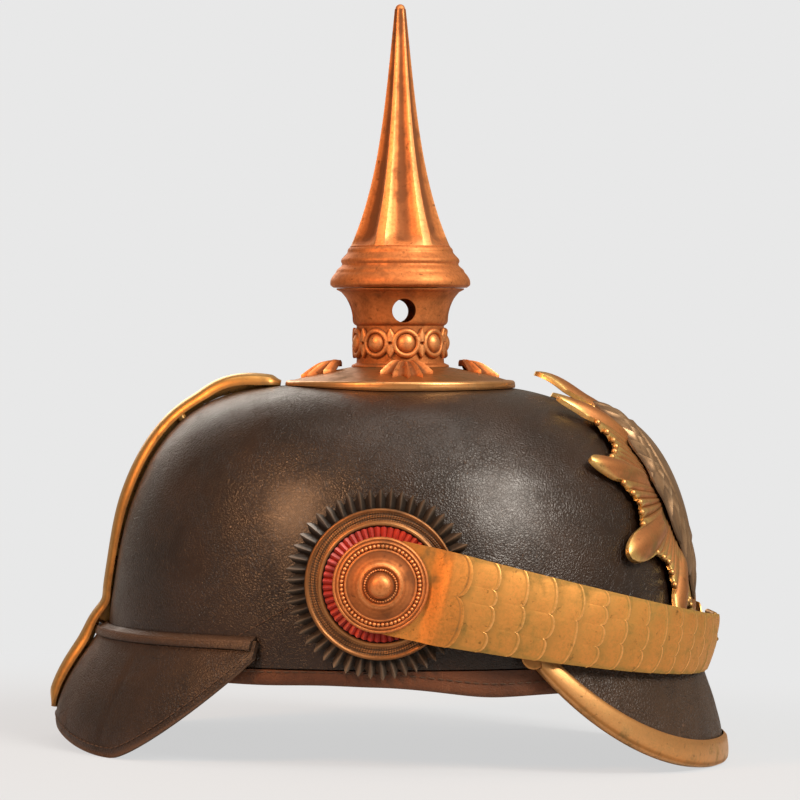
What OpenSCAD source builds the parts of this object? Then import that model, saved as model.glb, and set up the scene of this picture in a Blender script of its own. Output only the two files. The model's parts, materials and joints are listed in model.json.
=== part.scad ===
// Officer's spiked leather helmet with a fluted spike, chinscales and side cockades.
// The helmet is drawn in its own frame: the spike's axis is Z, +X is the front and +Y the wearer's
// left, with Z = 0 at the lowest edge of the front peak. stand() then sets it on its two peaks.

/* [Skull] */
// From the spike's axis to the front of the lower edge
skull_front = 108.5; // [100:0.5:116]
// From the spike's axis to the back of the lower edge
skull_rear = 111; // [104:0.5:120]
// From the spike's axis to the side of the lower edge
skull_side = 91; // [84:0.5:98]
// Rise of the crown above the lower edge
skull_rise = 101; // [94:0.5:108]
// Thickness of the skull's leather
skull_leather = 2.5; // [2:0.1:3.2]
// Radius of the vent hole in the crown
crown_vent = 8; // [5:0.5:10]

/* [Front peak] */
// Drop of the front peak below the skull's lower edge
front_drop = 41; // [34:0.5:46]
// Reach of the front peak beyond the skull
front_reach = 12; // [9:0.5:16]
// Angle from the middle to each end of the front peak
front_span = 61; // [55:1:65]

/* [Rear peak] */
// Reach of the rear peak beyond the skull
rear_reach = 17.6; // [13:0.1:21]
// Angle from the middle to each end of the rear peak
rear_span = 58; // [52:1:62]
// Rise of the rear edge's middle above its two lobes
rear_arch = 8; // [3:0.5:11]
// Backward lean of the helmet when it stands on its peaks
lean = 1.6; // [0:0.1:3]

/* [Peak leather] */
// Thickness of both peaks
peak_leather = 2.2; // [1.8:0.1:2.8]
// Height of both seams above the skull's lower edge
seam_rise = 9; // [6:0.5:12]
// Height of the stitched welt along each seam
welt_height = 4.2; // [3:0.1:6]
// Thickness of the welt
welt_thick = 1.2; // [0.8:0.1:2]

/* [Peak trim] */
// Width of the metal trim on the front peak
trim_width = 9; // [7:0.5:12]
// Thickness of the trim's sheet
trim_sheet = 0.9; // [0.6:0.1:1.4]

/* [Inside] */
// Height that the sweatband shows below the skull
band_show = 8; // [5:0.5:10]
// Height of the sweatband inside the skull
band_inside = 25; // [15:1:35]
// Thickness of the sweatband's leather
band_leather = 1.6; // [1.2:0.1:2.2]
// Space between the skull and the silk liner
liner_space = 5; // [4:0.5:8]
// Thickness of the quilted silk liner
liner_silk = 0.9; // [0.6:0.1:1.5]

/* [Spine] */
// Width of the metal spine strip
spine_width = 12; // [9:0.5:15]
// Thickness of the spine's sheet
spine_sheet = 1; // [0.8:0.1:1.5]
// How far the strip's middle stands above its two edges
spine_crown = 2.2; // [1:0.1:2.8]
// Gap between the spine and the back of the skull
spine_stand = 1.2; // [0.6:0.1:3]
// Further rise of the spine beside the base disc
spine_lift = 1.6; // [0:0.1:2]
// Gap between the spine and the rear peak
spine_flare = 2.6; // [0.6:0.1:3.4]

/* [Spike base] */
// Outer radius of the base disc
base_r = 43; // [38:0.5:48]
// Height of the disc's upright rim
base_rim = 3.1; // [2.8:0.1:4.5]
// Rise of the disc from its rim to the neck
base_rise = 5; // [3:0.5:8]
// Thickness of the sheet of the disc and neck
base_sheet = 1.2; // [0.9:0.1:1.6]
// Turn of the whole fitting about its own axis
base_turn = 4.5; // [0:0.5:8]
// Distance of the four studs from the axis
stud_ring = 29; // [27:0.5:31]
// Radius of the shank of every stud and post
post_r = 2; // [1.6:0.1:2.4]

/* [Neck and pearl ring] */
// Height of the neck from the disc to the spike
neck_height = 29.5; // [26:0.5:34]
// Radius of the neck at the pearl ring
neck_r = 16.6; // [15:0.2:18]
// Radius of the neck's lip under the spike
neck_lip = 24.2; // [22:0.2:26]
// Radius of the four vent holes
vent_r = 4.45; // [3.5:0.05:5]
// Number of pearls
pearls = 9; // [7:1:10]
// Width of one pearl
pearl_w = 7.8; // [6:0.1:8.6]
// Height of the pearl ring
ring_height = 12.4; // [11:0.2:14]
// How far the pearls stand out from the neck
pearl_out = 1.9; // [1.2:0.1:2.6]

/* [Spike] */
// Height of the spike above its lip
spike_height = 107.5; // [90:0.5:120]
// Radius of the widest moulding at the spike's foot
foot_r = 26.6; // [25:0.2:28]
// Height of the three mouldings at the spike's foot
foot_height = 16; // [14:0.5:18]
// Radius of the shaft above the mouldings, across its ridges
shaft_r = 19.6; // [18:0.2:21]
// Radius of the rounded tip
tip_r = 2.1; // [1.6:0.1:3]
// Number of flutes
flutes = 6; // [5:1:8]
// Depth of a flute, as a share of the radius there
flute_cut = 0.2; // [0.1:0.01:0.26]
// Radius of the threaded collar that holds the spike
collar_r = 12; // [10:0.5:13]
// Height of the collar's thread
collar_height = 8; // [6:0.5:10]

/* [Front plate] */
// Height of the star's centre, as an angle round the dome's profile
star_rise = 36.4; // [34:0.2:40]
// Length of the star's rays
star_ray = 60; // [54:0.5:63]
// Thickness of the star's sheet
star_sheet = 1; // [0.8:0.1:1.5]
// Gap between the star and the skull
star_stand = 1.4; // [0.8:0.1:2.5]
// Height of the applied wreath and shield
emblem_height = 84; // [70:1:86]
// Width of the applied wreath and shield
emblem_width = 41; // [34:1:46]
// How far the relief's middle stands out beyond its edge
emblem_swell = 4.4; // [2:0.1:5]
// Thickness of the applied relief
emblem_sheet = 1.4; // [1:0.1:2]
// Gap between the star and the applied relief
emblem_stand = 1.6; // [0.8:0.1:2.5]

/* [Cockades] */
// Position of the side posts behind the spike's axis
post_back = 7; // [0:0.5:12]
// Height of the side posts above the skull's lower edge
post_rise = 31; // [26:0.5:36]
// Outer radius of the pleated leather ring
cockade_r = 34.5; // [30:0.5:36]
// Outer radius of the engraved metal ring
metal_r = 27.2; // [24:0.2:29]
// Outer radius of the pleated cloth centre
centre_r = 21; // [19.5:0.2:22.5]
// Number of pleats in the leather ring
outer_pleats = 50; // [40:1:56]
// Number of pleats in the cloth centre
centre_pleats = 26; // [20:1:36]

/* [Chinscales] */
// From the front of the skull's lower edge to the chinscales, along their plane
chin_ahead = 18; // [15.5:0.1:21.5]
// From the sides of the skull's lower edge to the chinscales
chin_beside = 9; // [7.5:0.5:11]
// Downward slope of the chinscales towards the front
chin_slope = 12.2; // [11:0.1:14]
// Width of the chinscales at the rosettes
chin_wide = 34; // [30:0.5:36]
// Width of the chinscales at the front
chin_narrow = 21; // [18:0.5:24]
// Number of scales between a rosette and the front
scales = 14; // [11:1:16]
// Thickness of a scale's sheet
scale_sheet = 0.5; // [0.4:0.05:0.6]
// How far a scale's middle bulges outwards
scale_bulge = 1.8; // [1:0.1:2.4]
// Thickness of the leather behind the scales
chin_leather = 1; // [0.8:0.1:1.4]
// Outer radius of the rosettes
rosette_r = 17.2; // [15:0.2:18]
// Height of the rosettes' knobs
rosette_height = 9; // [7:0.5:11]

/* [Buckle] */
// Angle of the buckle from the front, on the wearer's left
buckle_angle = 7.6; // [7:0.1:9]
// Radius of the buckle's wire
buckle_wire = 1.1; // [0.9:0.1:1.3]
// Length of the buckle along the strap
buckle_length = 13; // [11:0.5:15]

/* [Fits] */
// Gap between neighbouring pieces
gap = 0.3; // [0.2:0.05:0.5]
// Radial clearance of a running fit
run = 0.05; // [0.03:0.01:0.09]

/* [Hidden] */

$fn = 64;
BRASS = "#b8803c";
COPPER = "#b06a34";
LEATHER = "#2b2320";
BROWN = "#5a3a28";

// Powers of the dome's outline: of its height, and of its plan radius at front, rear and side
dome_q = 1.8;
front_p = 3.9;
rear_p = 5.2;
side_p = 4.4;
around = 40;         // columns round the skull
rim_z = front_drop;  // height of the skull's lower edge
crown_z = rim_z + skull_rise;
seam_z = rim_z + seam_rise;

// Plan radius of the lower edge in direction t, counted from the front
function plan_r(t) =
    let (reach = cos(t) > 0 ? skull_front : skull_rear)
    1 / sqrt(pow(cos(t) / reach, 2) + pow(sin(t) / skull_side, 2));

// Power of the dome's plan radius in direction t
function dome_p(t) = side_p + ((cos(t) > 0 ? front_p : rear_p) - side_p) * pow(cos(t), 2);

// A point in direction t at profile angle u, at distance d outside the skull
function dome(t, u, d) =
    let (r = (plan_r(t) + d) * pow(cos(u), 2 / dome_p(t)))
    [r * cos(t), r * sin(t), rim_z + (skull_rise + d) * pow(sin(u), 2 / dome_q)];

// Radius of the dome in direction t at height z, at distance d outside the skull
function dome_r(t, z, d) =
    (plan_r(t) + d) * pow(1 - pow(max(0, z - rim_z) / (skull_rise + d), dome_q), 1 / dome_p(t));

// Height of the dome in direction t at radius r, at distance d outside the skull
function dome_z(t, r, d) =
    rim_z + (skull_rise + d) * pow(1 - pow(r / (plan_r(t) + d), dome_p(t)), 1 / dome_q);

function polar(t, r, z) = [r * cos(t), r * sin(t), z];

// Smooth step from 0 to 1
function ease(x) = let (c = min(1, max(0, x))) c * c * (3 - 2 * c);

// The finished helmet leans back until both peaks touch the floor
module stand() {
    translate([stand_x, 0, -floor_drop]) rotate([0, -lean, 0]) children();
}

// Faces of a grid of rows by columns whose first point is number start
function grid_faces(start, rows, cols, wrap, flip) = [
    for (i = [0 : rows - 2], j = [0 : cols - (wrap ? 1 : 2)], half = [0, 1])
        let (
            k = (j + 1) % cols,
            a = start + i * cols + j,
            b = start + i * cols + k,
            c = start + (i + 1) * cols + k,
            d = start + (i + 1) * cols + j
        )
        half == 0 ? (flip ? [a, c, b] : [a, b, c]) : (flip ? [a, d, c] : [a, c, d])
];

// Joins an outer and an inner edge, each a list of point numbers
function edge_faces(outer, inner, wrap) = [
    for (j = [0 : len(outer) - (wrap ? 1 : 2)], half = [0, 1])
        let (k = (j + 1) % len(outer))
        half == 0 ? [outer[j], inner[j], inner[k]] : [outer[j], inner[k], outer[k]]
];

function flat(rows) = [for (row = rows, p = row) p];
function reverse(v) = [for (i = [len(v) - 1 : -1 : 0]) v[i]];

// A sheet between an outer and an inner grid with the same columns; wrap closes it round
module sheet(outer, inner, wrap = false) {
    cols = len(outer[0]);
    m = len(outer);
    n = len(inner);
    base = m * cols;
    first_o = [for (j = [0 : cols - 1]) j];
    first_i = [for (j = [0 : cols - 1]) base + j];
    last_o = [for (j = [0 : cols - 1]) (m - 1) * cols + j];
    last_i = [for (j = [0 : cols - 1]) base + (n - 1) * cols + j];
    left_o = [for (i = [0 : m - 1]) i * cols];
    left_i = [for (i = [0 : n - 1]) base + i * cols];
    right_o = [for (i = [0 : m - 1]) i * cols + cols - 1];
    right_i = [for (i = [0 : n - 1]) base + i * cols + cols - 1];
    polyhedron(
        points = concat(flat(outer), flat(inner)),
        faces = concat(
            grid_faces(0, m, cols, wrap, true),
            grid_faces(base, n, cols, wrap, false),
            edge_faces(reverse(first_o), reverse(first_i), wrap),
            edge_faces(last_o, last_i, wrap),
            wrap ? [] : edge_faces(left_o, left_i, false),
            wrap ? [] : edge_faces(reverse(right_o), reverse(right_i), false)
        ),
        convexity = 6
    );
}

// A bar through a list of rings; loop joins the last ring to the first
module bar(rings, loop = false) {
    cols = len(rings[0]);
    m = len(rings);
    last = (m - 1) * cols;
    faces = grid_faces(0, m, cols, true, true);
    join = [
        for (f = grid_faces(last, 2, cols, true, true))
            [for (n = f) n >= m * cols ? n - m * cols : n]
    ];
    caps = [[for (j = [0 : cols - 1]) j], [for (j = [cols - 1 : -1 : 0]) last + j]];
    polyhedron(points = flat(rings), faces = concat(faces, loop ? join : caps), convexity = 6);
}

// Skull: a formed leather shell with its vent and the holes for every post
skull_rows = 12;
skull_inner_rows = 6;

function skull_grid(rows, d, start = 0, columns = around) = [
    for (i = [start : rows])
        [
            for (j = [0 : columns - 1])
                let (t = 360 * j / columns)
                i == rows ? polar(t, crown_vent, crown_z + d) : dome(t, 88 * i / rows, d)
        ]
];

module skull() {
    stand() color(LEATHER) difference() {
        sheet(skull_grid(skull_rows, 0), skull_grid(skull_inner_rows, -skull_leather), true);
        stud_places() translate([0, 0, crown_z - 15]) cylinder(r = post_r + gap, h = 30);
        side_places() rotate([90, 0, 0]) cylinder(r = post_r + gap, h = 30, center = true);
        plate_places() cylinder(r = post_r + gap, h = 30, center = true);
        spine_places() cylinder(r = post_r + gap, h = 30, center = true);
    }
}

// Silk liner: it hangs inside the skull from the top of the sweatband
liner_rows = 6;

module silk_liner() {
    out = -skull_leather - liner_space;
    stand() color("#6a5a4c") sheet(
        skull_grid(liner_rows, out, 1, 24),
        skull_grid(liner_rows, out - liner_silk, 1, 24),
        true
    );
}

// Sweatband: its fold shows below the skull, and it rises inside
band_low = rim_z - band_show;
band_top = rim_z + band_inside;

// Height of the fold's lower edge in direction t: it dips beside the front peak
function band_z(t) = band_low + 1.6 - 3.8 * ease((cos(t) + 0.1) / 0.5);

function band_ring(t) =
    let (
        r = plan_r(t),
        in = -skull_leather - gap,
        back = in - band_leather,
        low = band_z(t)
    )
    [
        polar(t, r - 0.2, low + 1.6),
        polar(t, r - 0.1, rim_z - gap),
        polar(t, r + in, rim_z - gap),
        polar(t, dome_r(t, band_top, in), band_top),
        polar(t, dome_r(t, band_top, back), band_top),
        polar(t, r + back, rim_z - gap),
        polar(t, r + back, low + 1),
        polar(t, r - 2, low)
    ];

module sweatband() {
    stand() color(BROWN) bar([for (j = [around : -1 : 1]) band_ring(360 * j / around)], true);
}

// Peaks: each flares out from its seam in a quarter wave and narrows to its two ends.
// side is 1 for the front peak and -1 for the rear; a is the angle from its middle.
function peak_span(side) = side > 0 ? front_span : rear_span;
function peak_flare(side, a) =
    let (reach = side > 0 ? front_reach : rear_reach, share = abs(a) / peak_span(side))
    reach * (1 - 0.86 * pow(share, 3));

// Power of the sine that the flare follows: the front peak leaves its seam more steeply
function peak_bow(side) = side > 0 ? 1.4 : 1.1;

// Height of the peak's lower edge
end_height = 6;
lobe_angle = 30;
fold = trim_sheet + gap;    // thickness of the trim's fold under the front peak
function front_edge(a) =
    let (x = max(0, (abs(a) - 10) / (front_span - 10)))
    fold + (seam_z - end_height - fold) * pow(x, 2.6);

function lobe_lift(a) = rear_arch * (1 - ease(min(1, abs(a) / lobe_angle)));
function rear_edge(a) =
    let (beyond = max(0, (abs(a) - lobe_angle) / (rear_span - lobe_angle)))
    lobe_z + lobe_lift(a) + (seam_z - end_height - lobe_z) * pow(beyond, 1.35);
function peak_edge(side, a) = side > 0 ? front_edge(a) : rear_edge(a);

// A point of the peak: v runs from 0 at the seam to 1 at the edge, d is outside its inner face
function peak(side, a, v, d) =
    let (
        t = side > 0 ? a : 180 + a,
        drop = seam_z - peak_edge(side, a),
        flare = peak_flare(side, a),
        z = seam_z - drop * v,
        bow = peak_bow(side),
        slope = atan2(flare * bow * PI / 2 * cos(90 * v) * pow(sin(90 * v), bow - 1), drop),
        r = dome_r(t, max(z, rim_z), 0) + gap + flare * pow(sin(90 * v), bow)
    )
    polar(t, r + d * cos(slope), z + d * sin(slope) * (1 - v));

// The floor touches the trim's fold under the front peak and the rear peak's two lobes
floor_drop = min([
    for (a = [0 : 3 : 48])
        let (p = peak(1, a, 1, peak_leather / 2))
        p[0] * sin(lean) + (p[2] - fold) * cos(lean)
]);
lobe_low = min([
    for (a = [0 : 3 : lobe_angle])
        let (x = -(plan_r(180 + a) + gap + peak_flare(-1, a) + peak_leather) * cos(a))
        x * sin(lean) + lobe_lift(a) * cos(lean)
]);
lobe_z = (floor_drop - lobe_low) / cos(lean);
spine_reach = skull_rear + rear_reach + peak_leather + spine_sheet + spine_crown + spine_flare / 2;
trim_reach = skull_front + front_reach + peak_leather + fold;
stand_x = (spine_reach - trim_reach) / 2;

peak_cols = 22;
peak_rows = 5;

function peak_grid(side, d, v0 = 0, v1 = 1, rows = peak_rows) = [
    for (i = [0 : rows])
        [
            for (j = [0 : peak_cols])
                let (a = peak_span(side) * (2 * j / peak_cols - 1))
                peak(side, a, v0 + (v1 - v0) * i / rows, d)
        ]
];

module peak_leather_sheet(side) {
    sheet(reverse(peak_grid(side, peak_leather)), reverse(peak_grid(side, 0)));
}

module rear_peak() {
    stand() color(LEATHER) peak_leather_sheet(-1);
}

module front_peak() {
    stand() color(LEATHER) difference() {
        peak_leather_sheet(1);
        rivet_hole();
        mirror([0, 1, 0]) rivet_hole();
    }
}

// Welt: a stitched band over the top of each peak, seated on the peak's first row of facets
function welt_low(side, a, d) =
    let (
        p = peak(side, a, 0, d),
        q = peak(side, a, 1 / peak_rows, d),
        share = min(1, welt_height / 2 / (p[2] - q[2]))
    )
    p + (q - p) * share;

function welt_ring(side, a) =
    let (t = side > 0 ? a : 180 + a, top = seam_z + welt_height / 2, seat = peak_leather + gap)
    [
        welt_low(side, a, seat),
        welt_low(side, a, seat + welt_thick),
        peak(side, a, 0, seat + welt_thick),
        polar(t, dome_r(t, top, gap + welt_thick), top),
        polar(t, dome_r(t, top, gap), top),
        polar(t, dome_r(t, seam_z + gap, gap), seam_z + gap),
        peak(side, a, 0, seat) + [0, 0, gap]
    ];

module welt(side) {
    reach = side > 0 ? tab_angle - 4 : rear_span - 3;
    bar([for (j = [0 : 20]) welt_ring(side, reach * (1 - 2 * j / 20))]);
}

module rear_peak_welt() {
    stand() color(LEATHER) welt(-1);
}

module front_peak_welt() {
    stand() color(LEATHER) welt(1);
}

// Trim: a folded metal edge on the front peak, with a round end on each side
function trim_ring(a) =
    let (
        drop = seam_z - front_edge(a),
        top = 1 - trim_width / drop,
        mid = (top + 1) / 2,
        under = 1 - 0.4 * trim_width / drop,
        inner = peak_leather + 1.5 * gap,
        back = -gap,
        edge = peak(1, a, 1, 0)
    )
    [
        peak(1, a, top, inner),
        peak(1, a, top, inner + trim_sheet),
        peak(1, a, mid, inner + trim_sheet + 0.4),
        peak(1, a, 1, inner + trim_sheet),
        edge + polar(a, peak_leather / 2, -fold),
        peak(1, a, 1, back - trim_sheet),
        peak(1, a, under, back - trim_sheet),
        peak(1, a, under, back),
        edge + polar(a, back, back),
        edge + polar(a, inner, back),
        peak(1, a, mid, inner)
    ];

tab_r = 4.2;
tab_angle = front_span - 3;
rivet_r = 1.1;

// Places a child on the outside of the trim's end, with Z pointing outwards
module trim_end() {
    translate(peak(1, tab_angle, 0.35, peak_leather + 2.6 * gap))
        rotate([0, 82, tab_angle + 16]) children();
}

module rivet_hole() {
    trim_end() translate([0, 0, -4]) cylinder(r = rivet_r + run, h = 9);
}

module trim_half() {
    difference() {
        union() {
            bar([for (j = [0 : peak_cols / 2]) trim_ring(min(tab_angle - 1.5, 2 * front_span * j / peak_cols))]);
            trim_end() cylinder(r = tab_r, h = trim_sheet);
        }
        rivet_hole();
    }
}

module peak_trim() {
    stand() color(BRASS) {
        trim_half();
        mirror([0, 1, 0]) trim_half();
    }
}

module rivet() {
    trim_end() {
        translate([0, 0, -peak_leather]) cylinder(r = rivet_r, h = peak_leather + 2);
        translate([0, 0, trim_sheet + 0.1]) intersection() {
            sphere(r = 1.9);
            translate([-2, -2, 0]) cube([4, 4, 2]);
        }
    }
}

module trim_rivets() {
    stand() color(BRASS) {
        rivet();
        mirror([0, 1, 0]) rivet();
    }
}

// Spine: a crowned strip from the base disc down the back and over the rear peak
spine_top = 83.2;
function spine_stand_at(u) =
    gap + (spine_stand * ease((u - 20) / 18) + spine_lift * ease((u - 68) / 8)) * ease((84 - u) / 4);

function spine_upper(u) = dome(180, u, spine_stand_at(u));
function spine_lower(v) = peak(-1, 0, v, peak_leather + gap);

spine_path = concat(
    [for (i = [0 : 12]) spine_upper(spine_top - (spine_top - 9) * i / 12)],
    [peak(-1, 0, 0, peak_leather + welt_thick + 2 * gap + 0.5 * spine_flare) + [0, 0, 2.4]],
    [for (i = [0 : 4]) spine_lower(0.16 + 0.7 * i / 4) + [-spine_flare * (1 - 0.5 * pow(i / 4, 3)), 0, 0]]
);

function spine_ring(i) =
    let (
        n = len(spine_path),
        along = spine_path[min(n - 1, i + 1)] - spine_path[max(0, i - 1)],
        out = [-(-along[2]), 0, -along[0]] / norm(along),
        half = spine_width / 2 * (i == n - 1 ? 0.55 : 1),
        p = spine_path[i]
    )
    [
        for (s = [-1, -0.5, 0, 0.5, 1])
            p + [0, s * half, 0] + out * (spine_crown * (1 - s * s)),
        for (s = [1, 0.5, 0, -0.5, -1])
            p + [0, s * half, 0] + out * (spine_crown * (1 - s * s) + spine_sheet)
    ];

module rear_spine() {
    stand() color(BRASS) bar([for (i = [len(spine_path) - 1 : -1 : 0]) spine_ring(i)]);
}

// Place of the spine's screw at profile angle u, with Z square to the skull
module spine_place(u) {
    translate(dome(180, u, 0)) rotate([0, -90 + dome_tilt(180, u), 0]) children();
}

module spine_places() {
    for (u = screw_angles) spine_place(u) children();
}

// Slope of the dome's normal above the horizontal in direction t at profile angle u
function dome_tilt(t, u) =
    let (a = dome(t, u - 1, 0), b = dome(t, u + 1, 0), run_r = norm([a[0], a[1]]) - norm([b[0], b[1]]))
    atan2(run_r, b[2] - a[2]);

screw_angles = [24, 62];

module spine_screws() {
    deep = skull_leather + 4.6;
    stand() color(BRASS) for (u = screw_angles) spine_place(u) {
        translate([0, 0, -deep])
            cylinder(r = post_r, h = deep + spine_stand_at(u) + spine_crown - 2 * gap);
        translate([0, 0, -deep + 0.6]) cylinder(r = 3.6, h = 2, $fn = 6);
    }
}

// Spike base: a shallow disc whose upright rim follows the crown
base_top = dome_z(90, base_r - base_sheet, gap) + base_rim;
disc_top = base_top + base_rise;

// Top of the disc at radius r, between its rim and the neck
disc_steps = [
    [neck_r + 4, disc_top - 0.4],
    [stud_ring + 3, base_top + base_rise * 0.48],
    [base_r - 4, base_top + 0.3]
];
function disc_z(r) = lookup(r, disc_steps);

// Lower edge of the rim in direction t of the fitting's own turned frame
function rim_foot(t, r) = dome_z(t + base_turn, r, gap);

disc_cols = 48;

module base_disc() {
    upper = concat(
        [[base_r - 0.6, base_top - 0.3], [base_r - 1.6, base_top]],
        reverse(disc_steps),
        [[neck_r + 1, disc_top], [neck_r - 3, disc_top]]
    );
    rows_out = [
        for (k = [0 : len(upper) + 1])
            [
                for (j = [0 : disc_cols - 1])
                    let (t = 360 * j / disc_cols)
                    k == 0 ? polar(t, base_r, rim_foot(t, base_r))
                        : (k == 1 ? polar(t, base_r, base_top - 1.2) : polar(t, upper[k - 2][0], upper[k - 2][1]))
            ]
    ];
    rows_in = [
        for (k = [0 : len(upper)])
            [
                for (j = [0 : disc_cols - 1])
                    let (t = 360 * j / disc_cols)
                    k == 0 ? polar(t, base_r - base_sheet, rim_foot(t, base_r - base_sheet))
                        : (k == 1 ? polar(t, base_r - base_sheet - 0.4, base_top - base_sheet - 0.4)
                            : polar(t, upper[k - 1][0], upper[k - 1][1] - base_sheet))
            ]
    ];
    stand() color(COPPER) rotate([0, 0, base_turn]) difference() {
        sheet(rows_out, rows_in, true);
        fitting_studs() cylinder(r = post_r + run, h = 40, center = true);
    }
}

// The four studs, in the fitting's own turned frame
module fitting_studs() {
    for (k = [0 : 3]) rotate([0, 0, 90 * k]) translate([stud_ring, 0, crown_z]) children();
}

module stud_places() {
    rotate([0, 0, base_turn]) for (k = [0 : 3]) rotate([0, 0, 90 * k]) translate([stud_ring, 0, 0])
        children();
}

// Studs: fan-shaped ribbed heads on plain shanks
fan_r = 15.5;
fan_foot = 7;       // distance from the fan's foot to its shank
fan_height = 3;
fan_ribs = 5;
fan_cols = 15;
stud_low = crown_z - skull_leather - 6;

// A point of the fan: a is the angle from its middle, s runs from its foot to its edge
function fan(a, s, d) =
    let (
        rib = cos(a * fan_ribs / 75 * 180),
        reach = fan_r * (0.86 + 0.07 * (1 + rib)) * s,
        x = stud_ring - fan_foot + reach * cos(a),
        y = reach * sin(a) * 0.72,
        h = fan_height * (1 - pow(s, 2.2)) + 0.35 * (1 + rib) * s
    )
    [x, y, disc_z(norm([x, y])) + gap + h + d];

function fan_grid(d) = [
    for (i = [0 : 2])
        [for (j = [0 : fan_cols]) fan(75 * (2 * j / fan_cols - 1), 0.06 + 0.94 * i / 2, d)]
];

module base_studs() {
    stand() color(COPPER) rotate([0, 0, base_turn]) for (k = [0 : 3]) rotate([0, 0, 90 * k]) {
        sheet(fan_grid(0), fan_grid(1));
        translate([stud_ring, 0, stud_low])
            cylinder(r = post_r, h = fan(0, fan_foot / fan_r, 0.5)[2] - stud_low);
    }
}

module stud_nuts() {
    stand() color(BRASS) stud_places() {
        translate([0, 0, stud_low + 0.6]) difference() {
            cylinder(r = 3.8, h = 2.4, $fn = 6);
            translate([0, 0, -1]) cylinder(r = post_r + run, h = 5);
        }
    }
}

// Neck: a trumpet on a flared foot, with four vents and a seat for the threaded collar
neck_foot = disc_top + gap;
neck_top = neck_foot + neck_height;
collar_top = neck_top + collar_height;
vent_z = neck_top - 8.5;
ring_low = neck_foot + 2.6;

module neck() {
    stand() color(COPPER) rotate([0, 0, base_turn]) difference() {
        rotate_extrude() polygon([
            [neck_r + 2, neck_foot],
            [neck_r + 0.9, neck_foot + 0.9],
            [neck_r, neck_foot + 2.4],
            [neck_r, ring_low + ring_height + gap],
            [neck_r + 1.3, neck_top - 13],
            [neck_r + 1.9, neck_top - 9.8],
            [neck_r + 2.7, neck_top - 6.6],
            [neck_r + 3.8, neck_top - 3.9],
            [neck_lip - 1.8, neck_top - 1.4],
            [neck_lip, neck_top - 0.5],
            [neck_lip, neck_top],
            [collar_r + gap, neck_top],
            [collar_r + gap, neck_top - 1.2],
            [collar_r + 2.5, neck_top - 1.2],
            [neck_r + 3.8 - base_sheet, neck_top - 3.9],
            [neck_r + 1.9 - base_sheet, neck_top - 9.8],
            [neck_r + 1.3 - base_sheet, neck_top - 13],
            [neck_r - base_sheet, ring_low + ring_height + gap],
            [neck_r - base_sheet, neck_foot]
        ]);
        for (k = [0 : 1]) rotate([0, 0, 90 * k]) translate([0, 0, vent_z]) rotate([90, 0, 0])
            cylinder(r = vent_r, h = 60, center = true);
    }
}

// Collar: the threaded tube that the spike's bush runs on, soldered under the neck's lip
module neck_collar() {
    stand() color(BRASS) translate([0, 0, neck_top]) rotate_extrude() polygon([
        [collar_r - 2, -1.2 - gap],
        [collar_r + 1.5, -1.2 - gap - 0.7],
        [collar_r + 1.5, -1.2 - gap],
        [collar_r, -1.2 - gap],
        [collar_r, collar_height],
        [collar_r - 2, collar_height]
    ]);
}

// Pearl ring: a band of domed pearls, each in a raised frame
module pearl_ring() {
    mid = ring_low + ring_height / 2;
    inner = neck_r + gap;
    ball = (pow(pearl_w / 2, 2) + pow(pearl_out, 2)) / (2 * pearl_out);
    frame_r = pearl_w / 2 + 0.75;
    stand() color(COPPER) rotate([0, 0, base_turn]) difference() {
        union() {
            translate([0, 0, ring_low + 0.6]) cylinder(r = inner + 0.7, h = ring_height - 1.2);
            for (k = [0 : pearls - 1]) rotate([0, 0, -87 + 360 * k / pearls]) {
                translate([inner + pearl_out - ball, 0, mid]) sphere(r = ball);
                translate([inner + 0.5, 0, mid]) rotate([0, 90, 0]) rotate_extrude()
                    translate([frame_r, 0]) circle(r = 0.62, $fn = 16);
            }
        }
        translate([0, 0, ring_low - 5]) cylinder(r = inner, h = ring_height + 10);
    }
}

// Threaded bush soldered into the spike's foot; it runs on the neck's collar
module spike_bush() {
    stand() color(BRASS) translate([0, 0, neck_top + gap]) difference() {
        cylinder(r = collar_r + 2.4, h = collar_height);
        translate([0, 0, -1]) cylinder(r = collar_r + run, h = collar_height + 2);
    }
}

// Spike: a fluted shaft over three mouldings
spike_low = neck_top + gap;
shaft_low = spike_low + foot_height - 2;
tip_ball = tip_r * 0.88;       // the rounded tip sits on the flat top of the shaft
shaft_height = spike_height - foot_height + 2 - tip_ball;

// Radius of the shaft across its ridges at share s of its height
function shaft(s) =
    tip_r + (shaft_r - tip_r) * (0.52 * (1 - s) + 0.48 * pow(1 - s, 3.9));

spike_rows = 15;

// Share of the ridge radius kept at angle a within one flute, whose foot is rounded
function flute_keep(f, s) =
    1 - flute_cut * (f < 0.12 || f > 0.88 ? 0 : sin(180 * (f - 0.12) / 0.76))
        * ease(s / 0.07) * (1 - 0.5 * ease((s - 0.75) / 0.25));

function spike_ring(s) = [
    for (k = [0 : flutes - 1], f = [0, 0.12, 0.3, 0.5, 0.7, 0.88])
        let (a = 90 + 360 / flutes * (k + 0.5 + f))
        polar(a, shaft(s) * flute_keep(f, s), shaft_low + shaft_height * s)
];

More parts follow.
